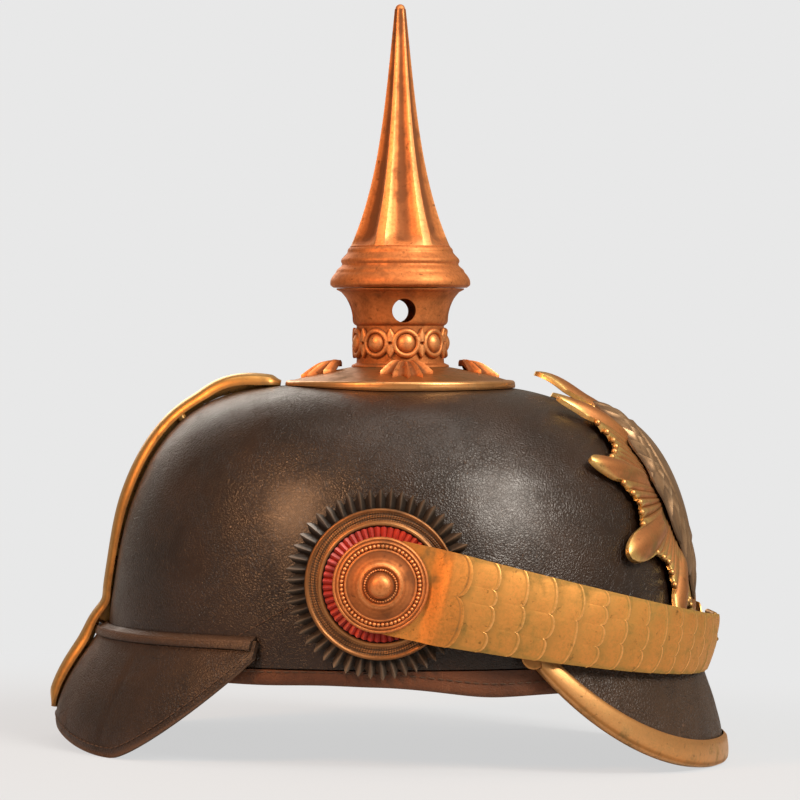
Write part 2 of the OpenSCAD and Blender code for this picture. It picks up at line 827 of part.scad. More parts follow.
module spike() {
    stand() color(COPPER) rotate([0, 0, base_turn]) difference() {
        union() {
            bar([for (i = [0 : spike_rows]) spike_ring(pow(i / spike_rows, 1.2))]);
            translate([0, 0, shaft_low + shaft_height]) sphere(r = tip_ball);
            rotate_extrude() polygon([
                [0, spike_low + 4],
                [foot_r - 1.3, spike_low],
                [foot_r - 0.2, spike_low + 0.8],
                [foot_r, spike_low + 1.7],
                [foot_r - 0.2, spike_low + 3],
                [foot_r - 1.1, spike_low + 4.6],
                [foot_r - 1.8, spike_low + 5.4],
                [foot_r - 2.4, spike_low + 6],
                [foot_r - 4.2, spike_low + 8.2],
                [foot_r - 4.4, spike_low + 9],
                [foot_r - 4.2, spike_low + 10.4],
                [foot_r - 5, spike_low + 11.6],
                [shaft_r + 0.4, foot_height + spike_low - 2.2],
                [shaft_r - 0.6, foot_height + spike_low - 0.6],
                [0, foot_height + spike_low]
            ]);
        }
        translate([0, 0, spike_low - 1]) cylinder(r = collar_r + 2.4 + run, h = foot_height);
        translate([0, 0, spike_low - 1]) cylinder(r1 = foot_r - 2, r2 = collar_r + 2, h = 3);
    }
}

// Front plate: points of the star are [across, up] in mm on the skull's front, from its centre
star_scale = skull_rise / 62.3;   // millimetres of skull per degree of profile
function front_u(y) = min(86, star_rise + y / star_scale);
function front_r(u) = max(0.28 * skull_front, plan_r(0) * pow(cos(u), 2 / front_p));
function on_front(p, d) = dome(p[0] / front_r(front_u(p[1])) * 180 / PI, front_u(p[1]), d);

// Rays of one half: angle, reach as a share of star_ray, half width in degrees, roundness
rays = [
    [90, 1.13, 9, 0.6], [60, 1, 9, 0.6], [17, 1, 9.5, 0.45],
    [-18, 1.08, 9, 0.45], [-52, 0.95, 9, 0.5], [-90, 0.74, 10, 0.5]
];
star_core = 0.66;     // reach of the star between two rays
star_rib = 0.18;      // further reach of the beaded ribs beside a ray
rib_step = 4.5;       // angle between two ribs
star_curl = 3.4;      // how far the top ray curls off the skull
star_lobe = 0.72;     // reach at which a ray leaves its neighbours

// Reach of the star in direction a, from its rays and the ribs between them
function star_reach(a) =
    let (
        half = a > 90 ? 180 - a : (a < -90 ? -180 - a : a),
        near = min([for (r = rays) abs(half - r[0])]),
        rib = star_core + star_rib * pow(1 - min(1, near / 19), 1.4) + 0.02 * cos(360 * half / rib_step),
        ray = [
            for (r = rays)
                let (off = abs(half - r[0]) / r[2])
                if (off < 1)
                    max(min(rib, r[1]), r[1] * (star_lobe + (1 - star_lobe) * pow(1 - pow(off, 2), r[3])))
        ]
    )
    star_ray * (len(ray) > 0 ? max(ray) : rib);

star_cols = 120;
star_rows = [0.1, 0.4, 0.6, 0.8, 1];

function star_grid(d, shares) = [
    for (s = shares)
        [
            for (j = [0 : star_cols - 1])
                let (
                    a = -180 + 360 * j / star_cols,
                    r = star_reach(a) * s,
                    lift = star_curl * ease((r * sin(a) / star_ray - 0.8) / 0.33)
                )
                on_front([r * cos(a), r * sin(a)], star_stand + d + lift)
        ]
];

module front_plate() {
    stand() color(BRASS) difference() {
        sheet(star_grid(0, star_rows), star_grid(star_sheet, star_rows), true);
        plate_places() cylinder(r = post_r + run, h = 30, center = true);
    }
}

emblem_mid = emblem_height / 9.4;    // height of the relief's middle above the star's centre
plate_spots = [[-emblem_width / 3, emblem_mid], [emblem_width / 3, emblem_mid]];

// Places of the plate's two posts, with Z square to the skull
module plate_places() {
    for (p = plate_spots) {
        u = front_u(p[1]);
        t = p[0] / front_r(u) * 180 / PI;
        translate(on_front(p, 0))
            rotate([0, 90 - dome_tilt(t, u), t]) children();
    }
}

// Top of the posts above the skull, just under the relief where it slopes at two thirds of its width
plate_post_top = star_stand + star_sheet + emblem_stand + emblem_swell * 5 / 9 - 0.3 * post_r - gap;

module plate_posts() {
    low = skull_leather + 4.5;
    stand() color(BRASS) plate_places()
        translate([0, 0, -low]) cylinder(r = post_r, h = low + plate_post_top);
}

module plate_nuts() {
    stand() color(BRASS) plate_places()
        translate([0, 0, -skull_leather - gap - 3.4]) difference() {
            cylinder(r = 3.8, h = 2.4, $fn = 6);
            translate([0, 0, -1]) cylinder(r = post_r + run, h = 5);
        }
}

// Applied relief: a plain shield in a tall wreath of leaves
emblem_cols = 60;
function leaf_edge(a) = 1 + 0.05 * sin(a * 16);

function emblem_grid(d, shares) = [
    for (s = shares)
        [
            for (j = [0 : emblem_cols - 1])
                let (
                    a = 360 * j / emblem_cols,
                    edge = s == 1 ? leaf_edge(a) : 1,
                    x = emblem_width / 2 * s * edge * cos(a),
                    y = emblem_height / 2 * s * edge * sin(a) * (1 - 0.12 * sin(a)),
                    swell = emblem_swell * (1 - pow(s, 2))
                )
                on_front([x, y + emblem_mid], star_stand + star_sheet + emblem_stand + d + swell)
        ]
];

module plate_emblem() {
    stand() color("#a08058") sheet(emblem_grid(0, [0.08, 0.6, 1]), emblem_grid(emblem_sheet, [0.08, 0.45, 0.72, 1]), true);
}

// Side posts, cockades and rosettes. side is -1 on the wearer's right and 1 on the left.
post_z = rim_z + post_rise;
wall_y = skull_side + 1;

// Frame of one side: origin on the middle plane at the post's axis, Z pointing outwards
module beside(side) {
    translate([-post_back, 0, post_z]) rotate([-90 * side, 0, 0]) children();
}

module side_places() {
    for (side = [-1, 1]) translate([-post_back, side * (skull_side - 5), post_z]) children();
}

leather_y = wall_y + 0.2;
ring_y = leather_y + 3;
cloth_y = leather_y + 2.6;
plate_y = ring_y + 3.4;
rosette_y = plate_y + 1 + gap;
post_top = rosette_y + 4;

post_low = dome_r(90, post_z, -skull_leather - liner_space) + gap;

module side_posts() {
    stand() color(BRASS) for (side = [-1, 1]) beside(side) {
        translate([0, 0, post_low]) cylinder(r = post_r, h = post_top - post_low);
        translate([0, 0, skull_side - 2]) cylinder(r = 5, h = 2.6);
    }
}

module side_post_nuts() {
    stand() color(BRASS) for (side = [-1, 1]) beside(side)
        translate([0, 0, post_low + 0.6]) difference() {
            cylinder(r = 4, h = 2.6, $fn = 6);
            translate([0, 0, -1]) cylinder(r = post_r + run, h = 5);
        }
}

// A pleated ring: the pleats deepen from inner radius r0 to outer radius r1
function pleats_grid(count, r0, r1, base, low, high) = [
    for (i = [0 : 1])
        [
            for (j = [0 : 2 * count - 1])
                let (
                    up = j % 2,
                    r = i == 0 ? r0 : r1 - (1 - up) * 0.05 * r1,
                    z = base + (up == 1 ? (i == 0 ? low : high) : (i == 0 ? low * 0.6 : 0))
                )
                polar(180 * j / count, r, z)
        ]
];

module pleated(count, r0, r1, thick, low, high) {
    sheet(
        pleats_grid(count, r0, r1, 0, low, high),
        pleats_grid(count, r0, r1, thick, low, high),
        true
    );
}

module cockade_leather(side) {
    beside(side) translate([0, 0, leather_y]) {
        pleated(outer_pleats, centre_r - 1, cockade_r, 0.8, 0.5, 1.3);
        difference() {
            cylinder(r = centre_r + 1, h = 1.2);
            translate([0, 0, -1]) cylinder(r = post_r + run, h = 4);
        }
    }
}

module cockade_ring(side) {
    beside(side) translate([0, 0, ring_y]) rotate_extrude() polygon([
        [centre_r, 0], [metal_r, 0], [metal_r, 0.8], [metal_r - 0.8, 1.3], [metal_r - 1.4, 0.9],
        [centre_r + 1.6, 0.9], [centre_r + 0.9, 1.5], [centre_r, 1.2]
    ]);
}

module cockade_cloth(side) {
    beside(side) translate([0, 0, cloth_y]) difference() {
        pleated(centre_pleats, post_r + 1, centre_r - gap, 0.7, 0.1, 0.9);
        translate([0, 0, -1]) cylinder(r = post_r + run, h = 4);
    }
}

module cockade_right_leather() {
    stand() color("#1d1a19") cockade_leather(-1);
}

module cockade_right_ring() {
    stand() color("#7a5a3a") cockade_ring(-1);
}

module cockade_right_cloth() {
    stand() color("#a8281e") cockade_cloth(-1);
}

module cockade_left_leather() {
    stand() color("#1d1a19") cockade_leather(1);
}

module cockade_left_ring() {
    stand() color("#7a5a3a") cockade_ring(1);
}

module cockade_left_cloth() {
    stand() color("#a8281e") cockade_cloth(1);
}

module rosette(side) {
    h = rosette_height;
    beside(side) translate([0, 0, rosette_y]) difference() {
        rotate_extrude() polygon([
            [0, 0], [rosette_r, 0], [rosette_r, 0.8], [rosette_r - 0.9, 1.6],
            [rosette_r - 2, 1.3], [rosette_r - 2.6, 2.4], [rosette_r - 4.2, 2.7],
            [rosette_r - 5, 3.6], [rosette_r - 6.6, 3.8], [rosette_r - 7.2, 3.2],
            [7.4, 3.4], [7, 4.6], [4.8, 5.2], [4.4, h - 2.2], [4.2, h - 1.2], [3.2, h - 0.3],
            [1.6, h], [0, h]
        ]);
        translate([0, 0, -1]) cylinder(r = post_r + run, h = 5.6);
    }
}

module rosette_right() {
    stand() color(BRASS) rosette(-1);
}

module rosette_left() {
    stand() color(BRASS) rosette(1);
}

// Chinscales lie in a plane through the side posts that slopes down to the front.
// a is the angle from the front, positive on the wearer's left; w is up across the strap.
// In its plane the strap follows a full oval, so that it passes outside the peak's ends.
chin_power = 2.15;
module chin_plane() {
    translate([-post_back, 0, post_z]) rotate([0, chin_slope, 0]) children();
}

function chin_share(a) = sign(a) * pow(1 - pow(abs(cos(a)), chin_power), 1 / chin_power);
chin_front = skull_front + chin_ahead;
chin_side = skull_side + chin_beside;
function chin(a, w, d) = [(chin_front + d) * cos(a), (chin_side + d) * chin_share(a), w];
function chin_width(a) = chin_narrow + (chin_wide - chin_narrow) * pow(min(1, abs(a) / 80), 1.3);

first_scale = 76;    // angle of the free edge of the end plate
scale_cover = 2.5;   // angle by which each scale reaches under the one behind it
lobe_depth = 2;      // depth of the notches between lobes, as an angle
right_end = 4;       // angle where the right scales end
left_end = 14;       // angle where the left scales end
scale_cols = 8;

// Free edge of a scale in degrees: lobes of equal width meet in sharp notches
function lobes(w, count) = let (x = w * count - floor(min(w, 0.999) * count)) sqrt(max(0, 1 - pow(2 * x - 1, 2)));

// Distance of a scale's inner face outside the strap's middle, at angle a and share w of the width;
// part runs from 0 at the covered end to 1 at the free end
scale_rise = 1.2;
function scale_out(a, w, part) =
    let (bulge = scale_bulge * (0.55 + 0.45 * abs(a) / 80))
    chin_leather / 2 + gap / 3 + scale_rise * part + bulge * (1 - pow(2 * w - 1, 2));

// One scale from angle a0 at its covered end to a1 at its free end
module scale_plate(side, a0, a1, count) {
    grids = [
        for (d = [scale_sheet, 0])
            [
                for (i = [0, 1])
                    [
                        for (j = [0 : scale_cols])
                            let (
                                w = j / scale_cols,
                                tip = a1 + lobe_depth * (1 - lobes(w, count)),
                                a = i == 0 ? a0 : tip
                            )
                            chin(
                                side * a,
                                chin_width(a) * (w - 0.5),
                                scale_out(a, w, (a0 - a) / (a0 - a1)) + d
                            )
                    ]
            ]
    ];
    if (side > 0) sheet(grids[0], grids[1]);
    else sheet(grids[1], grids[0]);
}

module chinscales(side) {
    end = side < 0 ? right_end : left_end;
    pitch = (first_scale - right_end) / scales;
    count = floor((first_scale - end) / pitch + 0.5);
    chin_plane() for (k = [1 : count])
        scale_plate(
            side,
            first_scale - pitch * (k - 1) + scale_cover,
            first_scale - pitch * k,
            2 + k % 2
        );
}

module chinscales_right() {
    stand() color(BRASS) chinscales(-1);
}

module chinscales_left() {
    stand() color(BRASS) chinscales(1);
}

// Leather behind the scales
function strap_ring(a, half, d0, d1) = [
    chin(a, -half, d0), chin(a, half, d0), chin(a, half, d1), chin(a, -half, d1)
];

strap_start = 80;
strap_inset = 3;     // how far the leather's edges lie inside the scales' edges

module strap_leather(side) {
    end = side < 0 ? -4.4 : 5.2;
    steps = 14;
    rings = [
        for (i = [0 : steps])
            let (a = strap_start + (end - strap_start) * i / steps)
            strap_ring(side * a, chin_width(a) / 2 - strap_inset, -chin_leather / 2, chin_leather / 2)
    ];
    chin_plane() bar(side > 0 ? reverse(rings) : rings);
}

module strap_leather_right() {
    stand() color(LEATHER) strap_leather(-1);
}

module strap_leather_left() {
    stand() color(LEATHER) strap_leather(1);
}

// End plate: a round eye on the post that rises from under the rosette to the first scale
end_angles = [88, 85, 82.6, 81.5, 80.4, 79.3, first_scale];

module end_plate(side) {
    cols = 8;
    last = len(end_angles) - 1;
    grids = [
        for (d = [scale_sheet + 0.2, 0])
            [
                for (i = [0 : last])
                    [
                        for (j = [0 : cols])
                            let (
                                w = j / cols,
                                a = end_angles[i] + (i == last ? lobe_depth * (1 - lobes(w, 2)) : 0),
                                part = ease((82.6 - a) / 3.4),
                                low = (plate_y + 0.1) / chin_share(a) - chin_side,
                                high = scale_out(a, w, 1)
                            )
                            chin(
                                side * a,
                                chin_width(a) * (w - 0.5),
                                low + (high - low) * part + d
                            )
                    ]
            ]
    ];
    difference() {
        union() {
            beside(side) translate([0, 0, plate_y]) cylinder(r = chin_wide / 2, h = 1);
            chin_plane() if (side > 0) sheet(grids[0], grids[1]);
            else sheet(grids[1], grids[0]);
        }
        beside(side) translate([0, 0, plate_y - 2]) cylinder(r = post_r + run, h = 6);
    }
}

module end_plate_right() {
    stand() color(BRASS) end_plate(-1);
}

module end_plate_left() {
    stand() color(BRASS) end_plate(1);
}

// Buckle at the front, left of the middle. Its frame holds the prong's pin.
module buckle_place() {
    chin_plane() translate(chin(buckle_angle, 0, chin_leather / 2 + 2 * gap + buckle_wire))
        rotate([0, 0, buckle_angle]) children();
}

module buckle_frame() {
    tall = chin_narrow / 2 - strap_inset + gap + buckle_wire;
    wide = buckle_length / 2;
    stand() color(BRASS) buckle_place() {
        for (y = [-wide, wide]) translate([0, y, 0])
            cylinder(r = y > 0 ? buckle_wire - 0.3 : buckle_wire, h = 2 * tall, center = true);
        for (z = [-tall, tall]) translate([0, 0, z]) rotate([90, 0, 0])
            cylinder(r = buckle_wire, h = 2 * wide, center = true);
        for (y = [-wide, wide], z = [-tall, tall]) translate([0, y, z]) sphere(r = buckle_wire);
    }
}

module buckle_prong() {
    wide = buckle_length / 2;
    stand() color(BRASS) buckle_place() {
        translate([0, wide, 0]) difference() {
            cylinder(r = buckle_wire + gap, h = 4, center = true);
            cylinder(r = buckle_wire - 0.3 + run, h = 6, center = true);
        }
        translate([1.6 + buckle_wire, wide, 0]) rotate([90, 0, 0]) cylinder(r = 0.8, h = buckle_length);
        translate([buckle_wire, wide - 0.9, -0.8]) cube([2, 1.8, 1.6]);
    }
}

skull();
silk_liner();
sweatband();
rear_peak();
rear_peak_welt();
front_peak();
front_peak_welt();
peak_trim();
trim_rivets();
rear_spine();
spine_screws();
base_disc();
base_studs();
stud_nuts();
neck();
pearl_ring();
neck_collar();
spike_bush();
spike();
front_plate();
plate_posts();
plate_nuts();
plate_emblem();
side_posts();
side_post_nuts();
cockade_right_leather();
cockade_right_ring();
cockade_right_cloth();
cockade_left_leather();
cockade_left_ring();
cockade_left_cloth();
rosette_right();
rosette_left();
end_plate_right();
end_plate_left();
chinscales_right();
chinscales_left();
strap_leather_right();
strap_leather_left();
buckle_frame();
buckle_prong();
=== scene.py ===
"""Spiked dress helmet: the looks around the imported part.

Every surface is a grid of points worked out with numpy from two parameters, in the
helmet's own frame: millimetres and degrees, Z along the spike's axis, X to the front and
Y to the wearer's left. Stance then sets the points on the two peaks, in metres.
"""

import json
import logging
import math
from dataclasses import dataclass, replace
from enum import Enum
from typing import Callable, Optional, Sequence, Union

import bpy
import numpy as np
from mathutils import Matrix, Vector

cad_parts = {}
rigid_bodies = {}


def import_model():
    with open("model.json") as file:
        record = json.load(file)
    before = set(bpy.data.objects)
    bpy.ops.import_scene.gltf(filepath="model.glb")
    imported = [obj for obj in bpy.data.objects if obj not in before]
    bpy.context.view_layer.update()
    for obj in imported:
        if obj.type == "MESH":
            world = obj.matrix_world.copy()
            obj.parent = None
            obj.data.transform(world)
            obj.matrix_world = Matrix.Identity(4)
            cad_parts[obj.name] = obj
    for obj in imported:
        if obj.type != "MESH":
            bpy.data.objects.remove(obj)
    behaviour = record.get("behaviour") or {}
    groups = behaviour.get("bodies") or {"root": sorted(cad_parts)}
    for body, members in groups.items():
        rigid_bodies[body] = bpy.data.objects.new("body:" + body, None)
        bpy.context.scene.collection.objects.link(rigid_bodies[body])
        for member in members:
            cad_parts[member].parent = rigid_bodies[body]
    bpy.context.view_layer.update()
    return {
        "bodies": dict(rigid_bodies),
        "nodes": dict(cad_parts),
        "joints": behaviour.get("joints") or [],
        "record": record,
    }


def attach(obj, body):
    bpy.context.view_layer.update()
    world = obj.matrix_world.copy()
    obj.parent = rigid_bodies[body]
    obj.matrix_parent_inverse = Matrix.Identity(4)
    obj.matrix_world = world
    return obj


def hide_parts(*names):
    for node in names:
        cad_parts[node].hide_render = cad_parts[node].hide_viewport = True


LOG = logging.getLogger("helmet")
Array = np.ndarray
GAP = 0.3  # clearance between neighbouring pieces
MM = 0.001
AROUND = 320  # columns of the skull and the sweatband
AXIS = 0.02  # smallest radius of a turned form
POST = np.array([-7.0, 0.0, 72.0])  # where the side posts' axis crosses the middle plane


# ---------------------------------------------------------------- numbers
def sind(angle: Array) -> Array:
    """Sine of an angle in degrees."""
    return np.sin(np.radians(angle))


def cosd(angle: Array) -> Array:
    """Cosine of an angle in degrees."""
    return np.cos(np.radians(angle))


def circle(count: int) -> Array:
    """Directions of even steps round a circle, in degrees."""
    return np.arange(count) * 360.0 / count


def ease(x: Array) -> Array:
    """Smooth step: 3c^2 - 2c^3 of x clipped to 0..1."""
    c = np.clip(x, 0.0, 1.0)
    return c * c * (3.0 - 2.0 * c)


def hill(x: Array, width: float) -> Array:
    """Bell curve exp(-(x/width)^2), 1 at x = 0."""
    return np.exp(-((np.asarray(x) / width) ** 2))


def cap(x: Array) -> Array:
    """Half circle sqrt(1 - x^2), 0 outside -1..1."""
    return np.sqrt(np.clip(1.0 - np.asarray(x) ** 2, 0.0, None))


def xyz(x: Array, y: Array, z: Array) -> Array:
    """Three arrays broadcast together and stacked into points."""
    return np.stack(np.broadcast_arrays(x, y, z), -1).astype(float)


def polar(t: Array, r: Array, z: Array) -> Array:
    """Points at direction t, radius r and height z."""
    return xyz(r * cosd(t), r * sind(t), z)


def mesh_lines(rows: Array, cols: Array) -> tuple[Array, Array]:
    """The two parameters of a grid: rows down the first axis, cols along the second."""
    return np.meshgrid(rows, cols, indexing="ij")


def waves(points: Array, pitch: float, seed: int, octaves: int = 3) -> Array:
    """Smooth unevenness from -1 to 1: sums of sines in fixed random directions.

    Args:
        points: places in millimetres, with the coordinates last.
        pitch: length of the longest wave.
        seed: number that fixes the directions.
        octaves: how many times the pitch halves.

    Returns:
        One value for each point.
    """
    rng = np.random.default_rng(seed)
    total, weight = np.zeros(points.shape[:-1]), 0.0
    for octave in range(octaves):
        share = 0.55**octave
        for _ in range(4):
            direction = rng.normal(size=3)
            direction *= 2 * math.pi * 2**octave / pitch / np.linalg.norm(direction)
            total += share * np.sin(points @ direction + rng.uniform(0, 2 * math.pi))
        weight += share * 2.2
    return np.clip(total / weight, -1, 1)


def smooth_path(points: Array, steps: int) -> Array:
    """Catmull-Rom curve: each span is the cubic that leaves and meets its ends in the
    direction of their neighbours.

    Args:
        points: K points of any dimension, which the curve passes through.
        steps: samples in each span.

    Returns:
        The curve's samples.
    """
    p = np.asarray(points, float)
    p = np.concatenate([2 * p[:1] - p[1:2], p, 2 * p[-1:] - p[-2:-1]])
    a, b, c, d = p[:-3, None], p[1:-2, None], p[2:-1, None], p[3:, None]
    t = (np.arange(steps) / steps)[None, :, None]
    curve = 0.5 * (2 * b + (c - a) * t + (2 * a - 5 * b + 4 * c - d) * t**2 + (3 * b - a - 3 * c + d) * t**3)
    return np.concatenate([curve.reshape(-1, p.shape[-1]), p[-2:-1]])


def soft_profile(
    points: Sequence, sharp: Sequence[int], steps: int = 5, base: Sequence = (0.0, 0.0)
) -> Array:
    """A turned profile: smooth curves between corners that stay sharp.

    Args:
        points: radius and height of each point, counted from base.
        sharp: numbers of the points that are corners.
        steps: samples between two points.
        base: radius and height to count from.

    Returns:
        The profile's samples.
    """
    p = np.asarray(points, float) + base
    stops = sorted({0, len(p) - 1, *sharp})
    parts = []
    for first, last in zip(stops[:-1], stops[1:]):
        run = p[first : last + 1]
        parts.append(smooth_path(run, steps)[:-1] if len(run) > 2 else run[:-1])
    return np.concatenate([*parts, p[-1:]])


def turned(points: Array, axis: str, angle: float) -> Array:
    """Points turned about a coordinate axis by an angle, as a right-handed rotation."""
    return points @ np.array(Matrix.Rotation(math.radians(angle), 3, axis)).T


# ---------------------------------------------------------------- meshes
def lattice_faces(rows: int, cols: int, loop_rows: bool, loop_cols: bool) -> Array:
    """Quads of a grid, whose rows or columns may close on themselves."""
    i = np.arange(rows if loop_rows else rows - 1)
    j = np.arange(cols if loop_cols else cols - 1)
    a, b = np.meshgrid(i, j, indexing="ij")
    up, on = (a + 1) % rows, (b + 1) % cols
    return np.stack([a * cols + b, a * cols + on, up * cols + on, up * cols + b], -1).reshape(-1, 4)


def split(quads: Array) -> Array:
    """Two triangles for each quad."""
    return np.concatenate([quads[:, [0, 1, 2]], quads[:, [0, 2, 3]]])


def volume(points: Array, triangles: Array) -> float:
    """Signed volume: the sum of the triple products of every triangle over six."""
    a, b, c = (points[triangles[:, k]] for k in range(3))
    return float(np.einsum("ij,ij->", a, np.cross(b, c)) / 6)


NO_FANS = np.zeros((0, 3), int)


class Shells:
    """Closed surfaces in millimetres, collected into the mesh of one piece.

    Every point also carries its flow: how far along and across the surface it lies, in
    millimetres, and its relief, above 0 where it stands out and below 0 in a recess. On the
    chinscales and their end plates, low relief also marks painted shade.
    """

    def __init__(self) -> None:
        """Starts with no surface."""
        self._surfaces: list[tuple[Array, Array, Array, Array]] = []

    def _add(self, points: Array, flow: Array, quads: Array, fans: Array) -> "Shells":
        """Adds one closed surface, turned so that its faces point outwards."""
        if volume(points - points.mean(0), np.concatenate([split(quads), fans])) < 0:
            quads, fans = quads[:, ::-1], fans[:, ::-1]
        self._surfaces.append((points, flow, quads, fans))
        return self

    def tube(self, rings: Array, flow: Array, closed: bool = False) -> "Shells":
        """A form through closed rings.

        Args:
            rings: rows of ring points, shaped rows x columns x 3.
            flow: flow of every point, shaped like rings.
            closed: whether the last ring meets the first; otherwise fans close both ends.

        Returns:
            This collection.
        """
        rows, cols = rings.shape[:2]
        quads = lattice_faces(rows, cols, closed, True)
        if closed:
            return self._add(rings.reshape(-1, 3), flow.reshape(-1, 3), quads, NO_FANS)
        j, tip, last = np.arange(cols), np.full(cols, rows * cols), (rows - 1) * cols
        on = (j + 1) % cols
        fans = np.concatenate([np.stack([on, j, tip], -1), np.stack([last + j, last + on, tip + 1], -1)])
        points, flows = (
            np.concatenate([grid.reshape(-1, 3), grid[:1].mean(1), grid[-1:].mean(1)])
            for grid in (rings, flow)
        )
        return self._add(points, flows, quads, fans)

    def sheet(self, outer: Array, inner: Array, flow: Array, wrap: bool = False) -> "Shells":
        """A sheet between two grids of the same shape.

        Args:
            outer: points of one face, shaped rows x columns x 3.
            inner: points of the other face.
            flow: flow of the outer face's points.
            wrap: whether the columns close on themselves.

        Returns:
            This collection.
        """
        rows, cols = outer.shape[:2]
        quads = lattice_faces(2 * rows, cols, True, wrap)
        if not wrap:
            i = np.arange(rows - 1)
            far = 2 * rows - 1 - i
            left = np.stack([i, i + 1, far - 1, far], -1) * cols
            quads = np.concatenate([quads, left, left[:, ::-1] + cols - 1])
        pairs = ((outer, inner[::-1]), (flow, flow[::-1]))
        points, flows = (np.concatenate(pair).reshape(-1, 3) for pair in pairs)
        return self._add(points, flows, quads, NO_FANS)

    def copies(self, forms: Array, relief: float = 0.0) -> "Shells":
        """Many small tubes of the same make, shaped copies x rows x columns x 3."""
        for rings in forms:
            self.tube(rings, np.broadcast_to([0.0, 0.0, relief], rings.shape))
        return self

    def revolve(
        self, profile: Array, columns: int, relief: Union[float, Array] = 0.0, closed: bool = False
    ) -> "Shells":
        """A turned solid.

        Args:
            profile: radius and height of each sample, from the axis back to the axis.
            columns: points in each circle.
            relief: relief of every point, or of each sample.
            closed: whether the profile closes on itself off the axis instead.

        Returns:
            This collection.
        """
        t, r, z = circle(columns), np.maximum(profile[:, :1], AXIS), profile[:, 1:]
        return self.tube(polar(t, r, z), xyz(t * 0.3, z, np.reshape(relief, (-1, 1))), closed)

    def moved(self, change: Callable[[Array], Array]) -> "Shells":
        """Passes every point through a function of the points."""
        self._surfaces = [(change(points), *rest) for points, *rest in self._surfaces]
        return self

    def join(self, other: "Shells") -> "Shells":
        """Takes over another collection's surfaces, with their faces turned outwards again."""
        for surface in other._surfaces:
            self._add(*surface)
        return self

    def mesh(self, name: str, sharp: float) -> bpy.types.Mesh:
        """The Blender mesh, smooth but for edges sharper than an angle in degrees."""
        points, flows, quads, fans = zip(*self._surfaces)
        first = np.cumsum([0, *map(len, points)])
        quads, fans = (np.concatenate([one + k for one, k in zip(faces, first)]) for faces in (quads, fans))
        corners = np.concatenate([quads.ravel(), fans.ravel()])
        totals = np.repeat([4, 3], [len(quads), len(fans)])
        mesh = bpy.data.meshes.new(name)
        mesh.vertices.add(int(first[-1]))
        mesh.vertices.foreach_set("co", np.concatenate(points).astype(np.float32).ravel())
        mesh.loops.add(len(corners))
        mesh.loops.foreach_set("vertex_index", corners.astype(np.int32))
        mesh.polygons.add(len(totals))
        mesh.polygons.foreach_set("loop_start", (np.cumsum(totals) - totals).astype(np.int32))
        mesh.polygons.foreach_set("loop_total", totals.astype(np.int32))
        mesh.update(calc_edges=True)
        mesh.validate()
        flow = mesh.attributes.new("flow", "FLOAT_VECTOR", "POINT")
        flow.data.foreach_set("vector", np.concatenate(flows).astype(np.float32).ravel())
        mesh.shade_smooth()
        mesh.set_sharp_from_angle(angle=math.radians(sharp))
        return mesh


def capsule(length: float, radius: float, rows: int = 5, cols: int = 8) -> Array:
    """Rings of a thread along X: its radius follows a half circle at both ends."""
    s = np.linspace(-1, 1, rows)[:, None]
    a, r = circle(cols), radius * (0.25 + 0.75 * cap(s * 0.98))
    return xyz(s * (length / 2), r * cosd(a), r * sind(a))


def placed(form: Array, centres: Array, along: Array, out: Array) -> Array:
    """Copies of a form, its X turned along one direction and its Z towards another.

    Args:
        form: rings of the form, rows x columns x 3.
        centres: place of each copy.
        along: direction of each copy's X.
        out: direction that each copy's Z leans to.

    Returns:
        The copies' rings, copies x rows x columns x 3.
    """
    x = along / np.linalg.norm(along, axis=-1, keepdims=True)
    y = np.cross(out, x)
    y /= np.linalg.norm(y, axis=-1, keepdims=True)
    z = np.cross(x, y)
    axes = np.stack([x, y, z], -2)
    return np.einsum("rci,kij->krcj", form, axes) + centres[:, None, None, :]


def stitches(line: Array, out: Array, pitch: float, length: float, radius: float) -> Array:
    """Threads laid end to end along a line on a surface.

    Args:
        line: points of the line.
        out: direction away from the surface at each point.
        pitch: distance between the middles of two threads.
        length: length of one thread.
        radius: radius of the thread.

    Returns:
        Rings of every thread, for Shells.copies.
    """
    steps = np.linalg.norm(np.diff(line, axis=0), axis=1)
    run = np.concatenate([[0], np.cumsum(steps)])
    at = np.arange(pitch / 2, run[-1] - pitch / 4, pitch)

    def on(values: Array, where: Array) -> Array:
        """Values of the line at a distance along it."""
        return np.stack([np.interp(where, run, values[:, k]) for k in range(3)], -1)

    along = on(line, at + length / 2) - on(line, at - length / 2)
    return placed(capsule(length, radius), on(line, at), along, on(out, at))


def ball(radius: float, rows: int = 10, cols: int = 16) -> Array:
    """Rings of a sphere about the origin, from pole to pole along Z."""
    s = np.linspace(-89, 89, rows)[:, None]
    return polar(circle(cols), radius * cosd(s), radius * sind(s))


